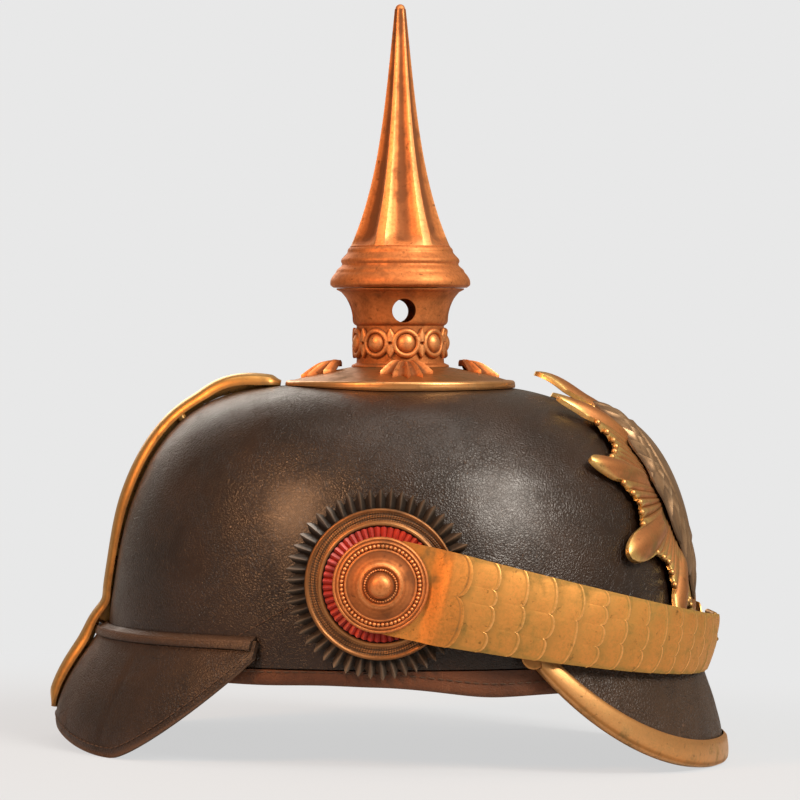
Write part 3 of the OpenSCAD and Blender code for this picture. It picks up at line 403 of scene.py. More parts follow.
# ---------------------------------------------------------------- form of the helmet
@dataclass(frozen=True)
class Dome:
    """The skull's outline: a rounded plan that closes into a crown."""

    front: float = 108.5
    rear: float = 111.0
    side: float = 91.0
    rise: float = 101.0
    rim: float = 41.0
    front_power: float = 3.9
    rear_power: float = 5.2
    side_power: float = 4.4
    height_power: float = 1.8

    @property
    def seam(self) -> float:
        """Height of the seams that hold the peaks."""
        return self.rim + 9.0

    def plan(self, t: Array) -> Array:
        """Radius of the lower edge in direction t: an ellipse, longer to the rear."""
        reach = np.where(cosd(t) > 0, self.front, self.rear)
        return 1 / np.sqrt((cosd(t) / reach) ** 2 + (sind(t) / self.side) ** 2)

    def power(self, t: Array) -> Array:
        """Power of the plan radius in direction t."""
        end = np.where(cosd(t) > 0, self.front_power, self.rear_power)
        return self.side_power + (end - self.side_power) * cosd(t) ** 2

    def point(self, t: Array, u: Array, d: Array) -> Array:
        """Point in direction t at profile angle u, at distance d outside: the radius falls
        with cos(u)^(2/power) and the height rises with sin(u)^(2/height_power)."""
        r = (self.plan(t) + d) * np.maximum(cosd(u), 0) ** (2 / self.power(t))
        z = self.rim + (self.rise + d) * np.maximum(sind(u), 0) ** (2 / self.height_power)
        return polar(t, r, z)

    def radius(self, t: Array, z: Array, d: Array) -> Array:
        """Radius in direction t at height z, at distance d outside."""
        share = np.maximum(0, np.asarray(z) - self.rim) / (self.rise + d)
        left = np.maximum(1 - share**self.height_power, 0)
        return (self.plan(t) + d) * left ** (1 / self.power(t))

    def height(self, t: Array, r: Array, d: Array) -> Array:
        """Height in direction t at radius r, at distance d outside."""
        share = np.asarray(r) / (self.plan(t) + d)
        left = np.maximum(1 - share ** self.power(t), 0)
        return self.rim + (self.rise + d) * left ** (1 / self.height_power)


DOME = Dome()


@dataclass(frozen=True)
class PeakForm:
    """One peak: it flares out of its seam in a quarter wave."""

    turn: float  # direction of its middle
    span: float
    reach: float
    bow: float
    leather: float = 2.2
    end_height: float = 6.0
    fold: float = 1.2
    lobe_angle: float = 30.0
    arch: float = 8.0
    lobe: float = 7.1
    thinning: float = 0.86  # share of the reach that is lost at the ends

    def edge(self, a: Array) -> Array:
        """Height of the lower edge at angle a from the middle. In front it rises towards
        the ends by a power of 2.6; behind, two lobes frame an arch."""
        top = DOME.seam - self.end_height
        if self.turn == 0:
            x = np.maximum(0, (np.abs(a) - 10) / (self.span - 10))
            return self.fold + (top - self.fold) * x**2.6
        beyond = np.maximum(0, (np.abs(a) - self.lobe_angle) / (self.span - self.lobe_angle))
        lift = self.arch * (1 - ease(np.abs(a) / self.lobe_angle))
        return self.lobe + lift + (top - self.lobe) * beyond**1.35

    def flare(self, a: Array) -> Array:
        """Reach beyond the skull at angle a, less towards the ends."""
        return self.reach * (1 - self.thinning * (np.abs(a) / self.span) ** 3)

    def slope(self, a: Array, v: Array) -> Array:
        """Angle of the surface from the upright, in degrees."""
        wave = np.maximum(sind(90 * np.asarray(v)), 1e-6)
        drop = DOME.seam - self.edge(a)
        rate = self.flare(a) * self.bow * math.pi / 2 * cosd(90 * np.asarray(v)) * wave ** (self.bow - 1)
        return np.degrees(np.arctan2(rate, drop))

    def point(self, a: Array, v: Array, d: Array) -> Array:
        """Point at angle a, from the seam at v = 0 to the edge at v = 1, d outside the
        inner face: the radius grows with the sine of v to the power bow."""
        t = a + self.turn
        z = DOME.seam - (DOME.seam - self.edge(a)) * v
        wave = np.maximum(sind(90 * np.asarray(v)), 0)
        r = DOME.radius(t, np.maximum(z, DOME.rim), 0) + GAP + self.flare(a) * wave**self.bow
        s = self.slope(a, v)
        return polar(t, r + d * cosd(s), z + d * sind(s) * (1 - np.asarray(v)))


FRONT_PEAK = PeakForm(turn=0, span=61, reach=12, bow=1.4)
REAR_FORM = PeakForm(turn=180, span=58, reach=17.6, bow=1.1)  # before its lobes are set down


@dataclass(frozen=True)
class Stance:
    """How the helmet stands: it leans back until both peaks touch the floor."""

    lean: float = 1.6
    spine_reach: float = 135.3
    trim_reach: float = 123.9

    @property
    def shift(self) -> float:
        """Move along X that centres the box."""
        return (self.spine_reach - self.trim_reach) / 2

    @property
    def drop(self) -> float:
        """Lowest point of the front peak's trim before the helmet is set down."""
        a = np.arange(0, 49, 3.0)
        p = FRONT_PEAK.point(a, np.ones_like(a), FRONT_PEAK.leather / 2)
        low = p[:, 0] * sind(self.lean) + (p[:, 2] - FRONT_PEAK.fold) * cosd(self.lean)
        return float(low.min())

    @property
    def lobe(self) -> float:
        """Height of the rear peak's lobes that brings them down to the same floor."""
        a = np.arange(0, 31, 3.0)
        reach = DOME.plan(180 + a) + GAP + REAR_FORM.flare(a) + REAR_FORM.leather
        arch = REAR_FORM.arch * (1 - ease(a / REAR_FORM.lobe_angle))
        low = arch * cosd(self.lean) - reach * cosd(a) * sind(self.lean)
        return float((self.drop - low.min()) / cosd(self.lean))

    def matrix(self) -> Matrix:
        """The change from the helmet's frame in millimetres to the part's in metres."""
        turn = Matrix.Rotation(math.radians(-self.lean), 4, "Y")
        return Matrix.Scale(MM, 4) @ Matrix.Translation((self.shift, 0, -self.drop)) @ turn

    def apply(self, points: Array) -> Array:
        """Points moved from the helmet's frame to the part's."""
        m = np.array(self.matrix())
        return points @ m[:3, :3].T + m[:3, 3]


STANCE = Stance()
REAR_PEAK = replace(REAR_FORM, lobe=STANCE.lobe)


# ---------------------------------------------------------------- shading
Number = Union[int, float, "Wire"]
Colour = tuple[float, float, float]


class Wire:
    """One output of a shader node. Arithmetic on it adds Math nodes."""

    def __init__(self, graph: "Graph", socket: bpy.types.NodeSocket) -> None:
        """Keeps the graph and the output socket."""
        self.graph = graph
        self.socket = socket

    def _math(self, operation: str, *values: Number, clamp: bool = False) -> "Wire":
        """A Math node on the given values."""
        settings = {"operation": operation, "use_clamp": clamp}
        return self.graph.add("ShaderNodeMath", settings, dict(enumerate(values)))

    def __add__(self, other: Number) -> "Wire":
        """Sum."""
        return self._math("ADD", self, other)

    __radd__ = __add__

    def __sub__(self, other: Number) -> "Wire":
        """Difference."""
        return self._math("SUBTRACT", self, other)

    def __rsub__(self, other: Number) -> "Wire":
        """Difference from a plain number."""
        return self._math("SUBTRACT", other, self)

    def __mul__(self, other: Number) -> "Wire":
        """Product."""
        return self._math("MULTIPLY", self, other)

    __rmul__ = __mul__

    def clamped(self) -> "Wire":
        """Value held in 0..1."""
        return self._math("ADD", self, 0.0, clamp=True)

    def sine(self) -> "Wire":
        """Sine of the value in radians."""
        return self._math("SINE", self)

    def above(self, low: float, high: float) -> "Wire":
        """Smooth step from 0 at low to 1 at high; low may be the greater."""
        values = {0: self, 1: low, 2: high, 3: 0.0, 4: 1.0}
        return self.graph.add("ShaderNodeMapRange", {"interpolation_type": "SMOOTHSTEP"}, values)


class Graph:
    """The node tree of one material or world."""

    def __init__(self, owner: Union[bpy.types.Material, bpy.types.World]) -> None:
        """Empties the owner's tree."""
        self.owner = owner
        owner.use_nodes = True
        self.tree = owner.node_tree
        self.tree.nodes.clear()

    def add(
        self, kind: str, settings: Optional[dict] = None, values: Optional[dict] = None,
        output: Union[int, str] = 0,
    ) -> Wire:
        """Adds a node.

        Args:
            kind: the node's type.
            settings: its properties, set first.
            values: for each input, by name or number, a plain value or a Wire.
            output: the output that is wanted.

        Returns:
            That output.
        """
        made = self.tree.nodes.new(kind)
        for key, value in (settings or {}).items():
            setattr(made, key, value)
        for key, value in (values or {}).items():
            socket = made.inputs[key]
            if isinstance(value, Wire):
                self.tree.links.new(value.socket, socket)
            else:
                socket.default_value = (*value, 1.0) if socket.type == "RGBA" else value
        return Wire(self, made.outputs[output])

    def place(self) -> Wire:
        """Object coordinates, in metres."""
        return self.add("ShaderNodeTexCoord", output="Object")

    def flow(self, axis: str) -> Wire:
        """X, Y or Z of the piece's flow: along and across in millimetres, and relief."""
        vector = self.add("ShaderNodeAttribute", {"attribute_name": "flow"}, output="Vector")
        return self.add("ShaderNodeSeparateXYZ", values={0: vector}, output=axis)

    def stretched(self, scale: tuple[float, float, float]) -> Wire:
        """Object coordinates multiplied axis by axis."""
        return self.add("ShaderNodeVectorMath", {"operation": "MULTIPLY"}, {0: self.place(), 1: scale})

    def noise(
        self, size: float, detail: float, rough: float, where: Optional[Wire] = None, bend: float = 0.0
    ) -> Wire:
        """Noise from 0 to 1 whose largest features are about size millimetres wide."""
        return self.add("ShaderNodeTexNoise", values={
            "Vector": where or self.place(), "Scale": 1 / (size * MM), "Detail": detail, "Roughness": rough,
            "Distortion": bend,
        })

    def cells(self, size: float, feature: str = "F1") -> Wire:
        """Distance in a cell pattern of about size millimetres."""
        values = {"Vector": self.place(), "Scale": 1 / (size * MM)}
        return self.add("ShaderNodeTexVoronoi", {"feature": feature}, values, "Distance")

    def mix(self, factor: Number, first: Union[Colour, Wire], second: Union[Colour, Wire]) -> Wire:
        """Colour from first at factor 0 to second at factor 1."""
        return self.add("ShaderNodeMix", {"data_type": "RGBA"}, {0: factor, 6: first, 7: second}, 2)

    def bump(self, height: Wire, depth: float) -> Wire:
        """Normal of a height from 0 to 1 that stands for depth millimetres."""
        return self.add("ShaderNodeBump", values={"Height": height, "Distance": depth * MM, "Strength": 1.0})

    def surface(self, links: dict, **plain: float) -> bpy.types.Material:
        """Ends the material in a Principled shader.

        Args:
            links: its inputs that vary, by name.
            plain: its inputs that don't, with _ for each space in a name.

        Returns:
            The material.
        """
        values = {key.replace("_", " "): value for key, value in plain.items()}
        self.end(self.add("ShaderNodeBsdfPrincipled", values={**values, **links}))
        return self.owner

    def end(self, shader: Wire, kind: str = "ShaderNodeOutputMaterial") -> None:
        """Links a shader to the surface of a new output node."""
        out = self.tree.nodes.new(kind)
        self.tree.links.new(shader.socket, out.inputs["Surface"])


@dataclass(frozen=True)
class Leather:
    """Aged leather: pebble, creases, scratches and worn places."""

    name: str
    dark: Colour
    light: Colour
    worn: Colour
    gloss: float = 0.42  # roughness of the sound surface
    pebble: float = 1.3  # size of the grain in millimetres
    grain: float = 0.10  # depth of the grain
    crackle: float = 0.5
    wear: float = 0.25
    scratch: float = 0.3
    coat: float = 0.15

    def build(self) -> bpy.types.Material:
        """The leather's material."""
        g = Graph(bpy.data.materials.new(self.name))
        broad = g.noise(38, 5, 0.6)
        patch = g.noise(14, 6, 0.62, bend=0.6)
        pebble = g.cells(self.pebble)
        soft = g.noise(self.pebble * 2.2, 3, 0.5)
        net = g.cells(5.5, "DISTANCE_TO_EDGE")
        cracks = net.above(0.035, 0.0) * patch.above(0.5, 0.68) * self.crackle
        fine = g.cells(self.pebble * 1.9, "DISTANCE_TO_EDGE").above(0.09, 0.0) * patch.above(0.35, 0.6)
        lines = g.noise(2.2, 3, 0.6, where=g.stretched((1.0, 0.25, 0.09)), bend=1.4)
        scratches = lines.above(0.66, 0.74) * broad.above(0.42, 0.62) * self.scratch
        rubbed = (patch * 0.6 + broad * 0.5).above(0.60, 0.80) * self.wear
        edge = g.flow("Z").above(0.05, 1.0)
        colour = g.mix(broad.above(0.3, 0.7), self.dark, self.light)
        colour = g.mix((rubbed + edge * 0.8 + scratches * 0.7).clamped(), colour, self.worn)
        colour = g.mix(cracks * 0.6, colour, tuple(c * 0.35 for c in self.dark))
        rough = (
            patch.above(0.25, 0.85) * 0.16 + rubbed * 0.35 + scratches * 0.25
            + cracks * 0.2 + edge * 0.12 + self.gloss - 0.08
        ).clamped()
        height = (
            (1.0 - pebble) * 0.75 + soft * 0.5 + patch * 0.8 - fine * (0.8 * self.crackle) - cracks * 0.9
            - scratches * 0.6
        )
        normal = g.bump(height, self.grain)
        return g.surface(
            {"Base Color": colour, "Roughness": rough, "Normal": normal},
            Coat_Weight=self.coat, Coat_Roughness=0.24, Specular_IOR_Level=0.38,
        )


@dataclass(frozen=True)
class Metal:
    """Old gilt or brass: dark patina in the recesses, rubbed where it stands out; where a piece's low relief
    marks shade, the same darkening is painted shade.
    """

    name: str
    base: Colour
    patina: Colour
    bright: Colour
    tint: Colour  # verdigris or brown bloom
    gloss: float = 0.34
    bloom: float = 0.35
    pits: float = 0.25
    brushed: float = 0.0
    mottle: float = 0.15
    metallic: float = 0.92

    def build(self) -> bpy.types.Material:
        """The metal's material."""
        g = Graph(bpy.data.materials.new(self.name))
        broad = g.noise(26, 5, 0.6, bend=0.4)
        patch = g.noise(7, 6, 0.65)
        fine = g.noise(1.1, 4, 0.6)
        relief = g.flow("Z")
        # Low relief darkens towards patina and bloom: the metal's own patina in hollows, and painted shade on
        # the chinscales and their end plates.
        recess = relief.above(-0.02, -0.6)
        raised = relief.above(0.1, 0.9)
        lines = g.noise(1.6, 2, 0.5, where=g.stretched((0.15, 0.6, 1.6)))
        spots = g.noise(2.6, 3, 0.7).above(0.60, 0.74)
        aged_and_painted_shade = (broad.above(0.34, 0.70) * 0.55 + patch.above(0.44, 0.76) * 0.45 + recess * 0.75
                - raised * 0.45).clamped()
        bloom = (patch.above(0.46, 0.72) * broad.above(0.35, 0.62) + recess * 0.5).clamped() * self.bloom
        colour = g.mix(aged_and_painted_shade, self.base, self.patina)
        colour = g.mix(raised * (broad * 0.3 + 0.55), colour, self.bright)
        colour = g.mix(bloom, colour, self.tint)
        colour = g.mix(fine.above(0.42, 0.66) * self.mottle * 0.8, colour, self.patina)
        colour = g.mix(spots * self.pits, colour, tuple(c * 0.4 for c in self.patina))
        rough = (
            aged_and_painted_shade * 0.16 + bloom * 0.25 + fine * 0.12 + lines * (0.10 * self.brushed)
            - raised * 0.08 + self.gloss - 0.06
        ).clamped()
        metallic = (1.0 - bloom * 0.5 - recess * 0.15) * self.metallic
        height = fine * 0.35 + patch * 0.6 - spots * 0.5 * self.pits + lines * (0.4 * self.brushed)
        normal = g.bump(height, 0.05)
        return g.surface({"Base Color": colour, "Roughness": rough, "Metallic": metallic, "Normal": normal})


@dataclass(frozen=True)
class Cloth:
    """Lacquered or woven cloth."""

    name: str
    dark: Colour
    light: Colour
    gloss: float = 0.5
    thread: float = 0.6
    weave: float = 0.05
    sheen: float = 0.0

    def build(self) -> bpy.types.Material:
        """The cloth's material."""
        g = Graph(bpy.data.materials.new(self.name))
        pace = 6.283 / self.thread  # radians of the weave in a millimetre
        weave = (g.flow("X") * pace).sine() * (g.flow("Y") * pace).sine() * 0.5 + 0.5
        dirt = g.noise(5, 5, 0.65)
        relief = g.flow("Z")
        # Dirt darkens the cloth at random; painted shade darkens it where the relief is below 0, in the quilt
        # channels and the pleat valleys.
        dirt_and_painted_shade = (dirt.above(0.35, 0.75) * 0.6 + relief.above(0.0, -0.8) * 0.7).clamped()
        colour = g.mix(dirt_and_painted_shade, self.light, self.dark)
        normal = g.bump(weave * 0.6 + dirt * 0.4, self.weave)
        rough = (dirt * 0.2 + self.gloss - 0.1).clamped()
        return g.surface(
            {"Base Color": colour, "Roughness": rough, "Normal": normal},
            Sheen_Weight=self.sheen, Sheen_Roughness=0.4,
        )


Finish = Union[Leather, Metal, Cloth]


class Palette:
    """Every finish of the helmet, each made once."""

    SKULL = Leather("skull leather", (0.012, 0.0055, 0.0026), (0.024, 0.0112, 0.0054), (0.07, 0.036, 0.019),
                    gloss=0.35, pebble=0.7, grain=0.19, crackle=0.9, wear=0.2, scratch=0.15, coat=0.2)
    VISOR = Leather("visor leather", (0.024, 0.012, 0.006), (0.046, 0.024, 0.012), (0.12, 0.064, 0.034),
                    gloss=0.46, pebble=0.9, grain=0.34, crackle=1.0, wear=0.3, scratch=0.8, coat=0.0)
    PEAK = Leather("peak leather", (0.020, 0.0095, 0.0045), (0.044, 0.0215, 0.0105), (0.13, 0.070, 0.038),
                   gloss=0.46, pebble=0.7, grain=0.22, crackle=1.0, wear=0.55, scratch=1.0, coat=0.05)
    BAND = Leather("band leather", (0.06, 0.02, 0.008), (0.14, 0.05, 0.02), (0.27, 0.12, 0.06),
                   gloss=0.55, pebble=0.9, grain=0.14, crackle=0.6, wear=0.7, scratch=0.7, coat=0.0)
    STRAP = Leather("strap leather", (0.03, 0.016, 0.01), (0.07, 0.038, 0.024), (0.15, 0.09, 0.06),
                    gloss=0.55, pebble=0.9, grain=0.1, crackle=0.4, wear=0.5, scratch=0.3, coat=0.0)
    BLACK = Leather("cockade leather", (0.016, 0.011, 0.008), (0.034, 0.024, 0.017), (0.12, 0.08, 0.05),
                    gloss=0.38, pebble=0.8, grain=0.06, crackle=0.2, wear=0.5, scratch=0.3, coat=0.2)
    THREAD = Cloth("thread", (0.035, 0.018, 0.01), (0.10, 0.052, 0.028), gloss=0.7, thread=0.3, weave=0.04)
    SILK = Cloth("lining silk", (0.14, 0.10, 0.07), (0.32, 0.25, 0.19), gloss=0.55, thread=0.5,
                 weave=0.04, sheen=0.3)
    RED = Cloth("cockade red", (0.14, 0.008, 0.004), (0.50, 0.028, 0.012), gloss=0.46, thread=0.5, weave=0.03)
    COPPER = Metal("copper gilt", (0.66, 0.235, 0.072), (0.26, 0.085, 0.026), (0.86, 0.39, 0.15),
                   (0.13, 0.06, 0.024), gloss=0.53, bloom=0.45, pits=0.7, brushed=0.5, mottle=0.4)
    DISC = Metal("disc gilt", (0.42, 0.185, 0.058), (0.19, 0.092, 0.034), (0.86, 0.45, 0.18),
                 (0.085, 0.062, 0.025), gloss=0.40, bloom=0.6, pits=0.4)
    BRASS = Metal("yellow brass", (0.62, 0.31, 0.085), (0.27, 0.13, 0.038), (0.90, 0.56, 0.21),
                  (0.12, 0.105, 0.035), gloss=0.35, bloom=0.45, pits=0.45, brushed=0.3)
    TRIM = Metal("trim brass", (0.56, 0.26, 0.08), (0.26, 0.12, 0.04), (0.82, 0.44, 0.17),
                 (0.15, 0.112, 0.036), gloss=0.44, bloom=0.8, pits=0.7, brushed=0.5)
    SCALE = Metal("scale brass", (0.76, 0.34, 0.088), (0.50, 0.26, 0.065), (1.0, 0.54, 0.19),
                  (0.20, 0.15, 0.032), gloss=0.44, bloom=0.85, pits=0.8, brushed=0.7, mottle=0.7)
    EYE = Metal("end plate brass", (0.72, 0.29, 0.066), (0.44, 0.20, 0.045), (0.92, 0.46, 0.14),
                (0.16, 0.10, 0.03), gloss=0.46, bloom=0.8, pits=1.0, brushed=0.7, mottle=0.8)
    PLATE = Metal("plate brass", (0.60, 0.245, 0.088), (0.22, 0.10, 0.036), (0.78, 0.58, 0.20),
                  (0.17, 0.14, 0.04), gloss=0.42, bloom=0.5, pits=0.4, mottle=0.3)
    RELIEF = Metal("relief silver gilt", (0.40, 0.25, 0.14), (0.15, 0.09, 0.05), (0.68, 0.48, 0.30),
                   (0.09, 0.062, 0.035), gloss=0.42, bloom=0.4, pits=0.5)
    BRONZE = Metal("cockade bronze", (0.34, 0.145, 0.052), (0.085, 0.04, 0.018), (0.70, 0.38, 0.16),
                   (0.06, 0.04, 0.022), gloss=0.40, bloom=0.4, pits=0.4)
    FASTENER = Metal("fastener brass", (0.50, 0.30, 0.11), (0.22, 0.13, 0.05), (0.80, 0.55, 0.24),
                     (0.12, 0.10, 0.04), gloss=0.38, bloom=0.3, pits=0.3)

    def __init__(self) -> None:
        """Starts with no material made."""
        self._made: dict[str, bpy.types.Material] = {}

    def of(self, finish: Finish) -> bpy.types.Material:
        """The finish's material, made the first time it is asked for."""
        if finish.name not in self._made:
            self._made[finish.name] = finish.build()
        return self._made[finish.name]


# ---------------------------------------------------------------- pieces
class Bench:
    """Sets finished pieces on their bodies and gives CAD nodes their finish."""

    def __init__(self, frame: dict, palette: Palette) -> None:
        """Keeps the loaded frame and the finishes."""
        self.frame = frame
        self.palette = palette

    def piece(
        self, name: str, shells: Shells, body: str, slot: str, finish: Finish,
        replaces: Sequence[str], sharp: float,
    ) -> bpy.types.Object:
        """Makes a new piece.

        Args:
            name: the piece's name.
            shells: its surfaces, in the helmet's frame.
            body: the body that it rides on.
            slot: the record's material slot; not used.
            finish: its finish.
            replaces: the CAD nodes that it stands for.
            sharp: angle from which its edges stay sharp.

        Returns:
            The object, at the origin, in metres.
        """
        shells.moved(STANCE.apply)
        made = bpy.data.objects.new(name, shells.mesh(name, sharp))
        bpy.context.scene.collection.objects.link(made)
        made.data.materials.append(self.palette.of(finish))
        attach(made, body)
        if replaces:
            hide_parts(*replaces)
        LOG.info("%s on %s, %d faces", name, body, len(made.data.polygons))
        return made

    def threads(
        self, name: str, slot: str, seams: Sequence[tuple[Array, Array]],
        pitch: float, length: float, radius: float,
    ) -> None:
        """Makes a piece of stitches.

        Args:
            name: the piece's name.
            slot: the record's material slot.
            seams: for each seam its line and the direction away from the surface along it.
            pitch: distance between the middles of two threads.
            length: length of one thread.
            radius: radius of the thread.
        """
        shells = Shells()
        for line, out in seams:
            shells.copies(stitches(line, out, pitch, length, radius))
        self.piece(name, shells, "helmet", slot, Palette.THREAD, [], 60)

    def dress(self, nodes: Sequence[str], finish: Finish) -> None:
        """Gives CAD nodes that stay in view their finish."""
        for name in nodes:
            slots = self.frame["nodes"][name].data.materials
            slots.clear()
            slots.append(self.palette.of(finish))
            LOG.info("node %s in %s", name, finish.name)


class Side(Enum):
    """The two sides of the helmet, as the sign of Y."""

    RIGHT = -1
    LEFT = 1

    @property
    def word(self) -> str:
        """The side's name in node names."""
        return self.name.lower()

    def beside(self, points: Array) -> Array:
        """Points from the side's own frame: origin on the middle plane at the post's axis,
        Z pointing outwards."""
        return turned(points, "X", -90.0 * self.value) + POST


@dataclass
class Skull:
    """The formed leather shell."""

    leather: float = 2.5
    vent: float = 8.0
    dent: float = 0.45
    seam_ends: tuple = ((128.5, 51.0), (115.0, 63.5))  # direction and height of both ends of a stitched seam

    def grid(self, rows: int, d: float, columns: int) -> Array:
        """Points of one face: the profile angle runs to 88 degrees, and the rest closes
        along the dome to the vent hole."""
        t = circle(columns)
        u = 88 * np.linspace(0, 1, rows) ** 0.95
        uu, tt = mesh_lines(u, t)
        body = DOME.point(tt, uu, d)
        top = np.hypot(body[-1, :, 0], body[-1, :, 1])
        ss, _ = mesh_lines(np.linspace(0, 1, 7)[1:], t)
        r = top[None, :] + (self.vent - top[None, :]) * ss
        lid = polar(t, r, DOME.height(t, r, d))
        return np.concatenate([body, lid])

    def build(self, bench: Bench) -> None:
        """Makes the skull, its outer face uneven by a fraction of a millimetre."""
        outer = self.grid(110, 0.0, AROUND)
        inner = self.grid(110, -self.leather, AROUND)
        hollow = (waves(outer, 70, 3, 3) - 1) * 0.5 * self.dent
        from_spike = np.hypot(outer[..., 0], outer[..., 1])
        fade = ease((outer[..., 2] - DOME.rim - 14) / 12) * ease((from_spike - 44) / 10)
        away = outer - np.array([0, 0, 60.0])
        away /= np.linalg.norm(away, axis=-1, keepdims=True)
        outer = outer + away * (hollow * fade)[..., None]
        shells = Shells().sheet(outer, inner, xyz(outer[..., 0], outer[..., 1], 0.0), wrap=True)
        bench.piece("skull_shell", shells, "helmet", "skull_leather", Palette.SKULL, ["skull"], 50)
        (low, high), seams = self.seam_ends, []
        z = np.linspace(low[1], high[1], 60)
        for side in Side:
            t = side.value * np.linspace(low[0], high[0], 60)
            line = polar(t, DOME.radius(t, z, 0.04), z)
            seams.append((line, polar(t, DOME.radius(t, z, 1.04), z) - line))
        bench.threads("skull_seam_stitches", "skull_leather", seams, 2.5, 1.7, 0.26)


@dataclass
class Inside:
    """Sweatband and quilted liner."""

    show: float = 8.0
    inside: float = 25.0
    band: float = 1.6
    leather: float = Skull.leather
    space: float = 5.0
    silk: float = 0.9
    quilts: int = 24

    def low(self, t: Array) -> Array:
        """Height of the fold's lower edge: it dips beside the front peak and waves a little."""
        return (
            DOME.rim - self.show + 1.6 - 3.8 * ease((cosd(t) + 0.1) / 0.5)
            + 0.35 * sind(t * 9) * np.cos(np.radians(t) * 4 + 1)
        )

    def sweatband(self, bench: Bench) -> None:
        """The band: its section runs round a soft fold below the skull and up inside."""
        t = circle(AROUND)
        r, low, rim = DOME.plan(t), self.low(t), DOME.rim - GAP
        inner = -self.leather - GAP
        back, top = inner - self.band, DOME.rim + self.inside
        crease = 0.25 * sind(t * 57) * cosd(t * 13)
        fold = [
            (r - 0.15 - 0.1 * crease, rim - 0.3), (r - 0.3 + 0.12 * crease, low + 4.4),
            (r - 0.2 + 0.1 * crease, low + 2.2), (r - 0.7, low + 0.8), (r - 1.6, low + 0.15), (r - 2.7, low),
            (r - 3.7, low + 0.5), (r + back, low + 1.8), (r + back, rim),
        ]
        corners = ((top - 8, back), (top, back), (top, inner), (top - 8, inner))
        wall = [(DOME.radius(t, z, d), z) for z, d in corners]
        rings = np.stack([polar(t, *place) for place in (*fold, *wall, (r + inner, rim))])
        flow = xyz(t * 1.7, rings[..., 2], 0.35 * hill(rings[..., 2] - low, 1.6))
        shells = Shells().tube(rings, flow, closed=True)
        bench.piece("sweatband_roll", shells, "helmet", "brown_leather", Palette.BAND, ["sweatband"], 60)
        t = np.append(t, 0.0)
        line = polar(t, DOME.plan(t) + 0.05, self.low(t) + 5.1)
        bench.threads("sweatband_stitches", "brown_leather", [(line, polar(t, 1.0, 0.0))], 3.3, 2.4, 0.28)

    def liner(self, bench: Bench) -> None:
        """The silk liner: a thin quilted dome whose channels run up to the crown."""
        uu, tt = mesh_lines(np.linspace(88 / 6, 88, 60), circle(192))
        out = -self.leather - self.space
        puff = self.silk * 0.55 * np.abs(sind(tt * self.quilts / 2)) ** 0.6 * np.abs(sind(uu * 9)) ** 0.4
        outer = DOME.point(tt, uu, out - 0.1)
        inner = DOME.point(tt, uu, out - self.silk * 0.45 - puff)
        # The relief is low in the channels between the puffs, where the cloth paints shade.
        flow = xyz(tt * 1.4, uu * 1.7, -0.7 + 1.2 * puff / self.silk)
        shells = Shells().sheet(outer, inner, flow, wrap=True)
        made = bench.piece("liner_quilt", shells, "helmet", "lining_silk", Palette.SILK, ["silk_liner"], 60)

    def build(self, bench: Bench) -> None:
        """Makes both pieces."""
        self.sweatband(bench)
        self.liner(bench)


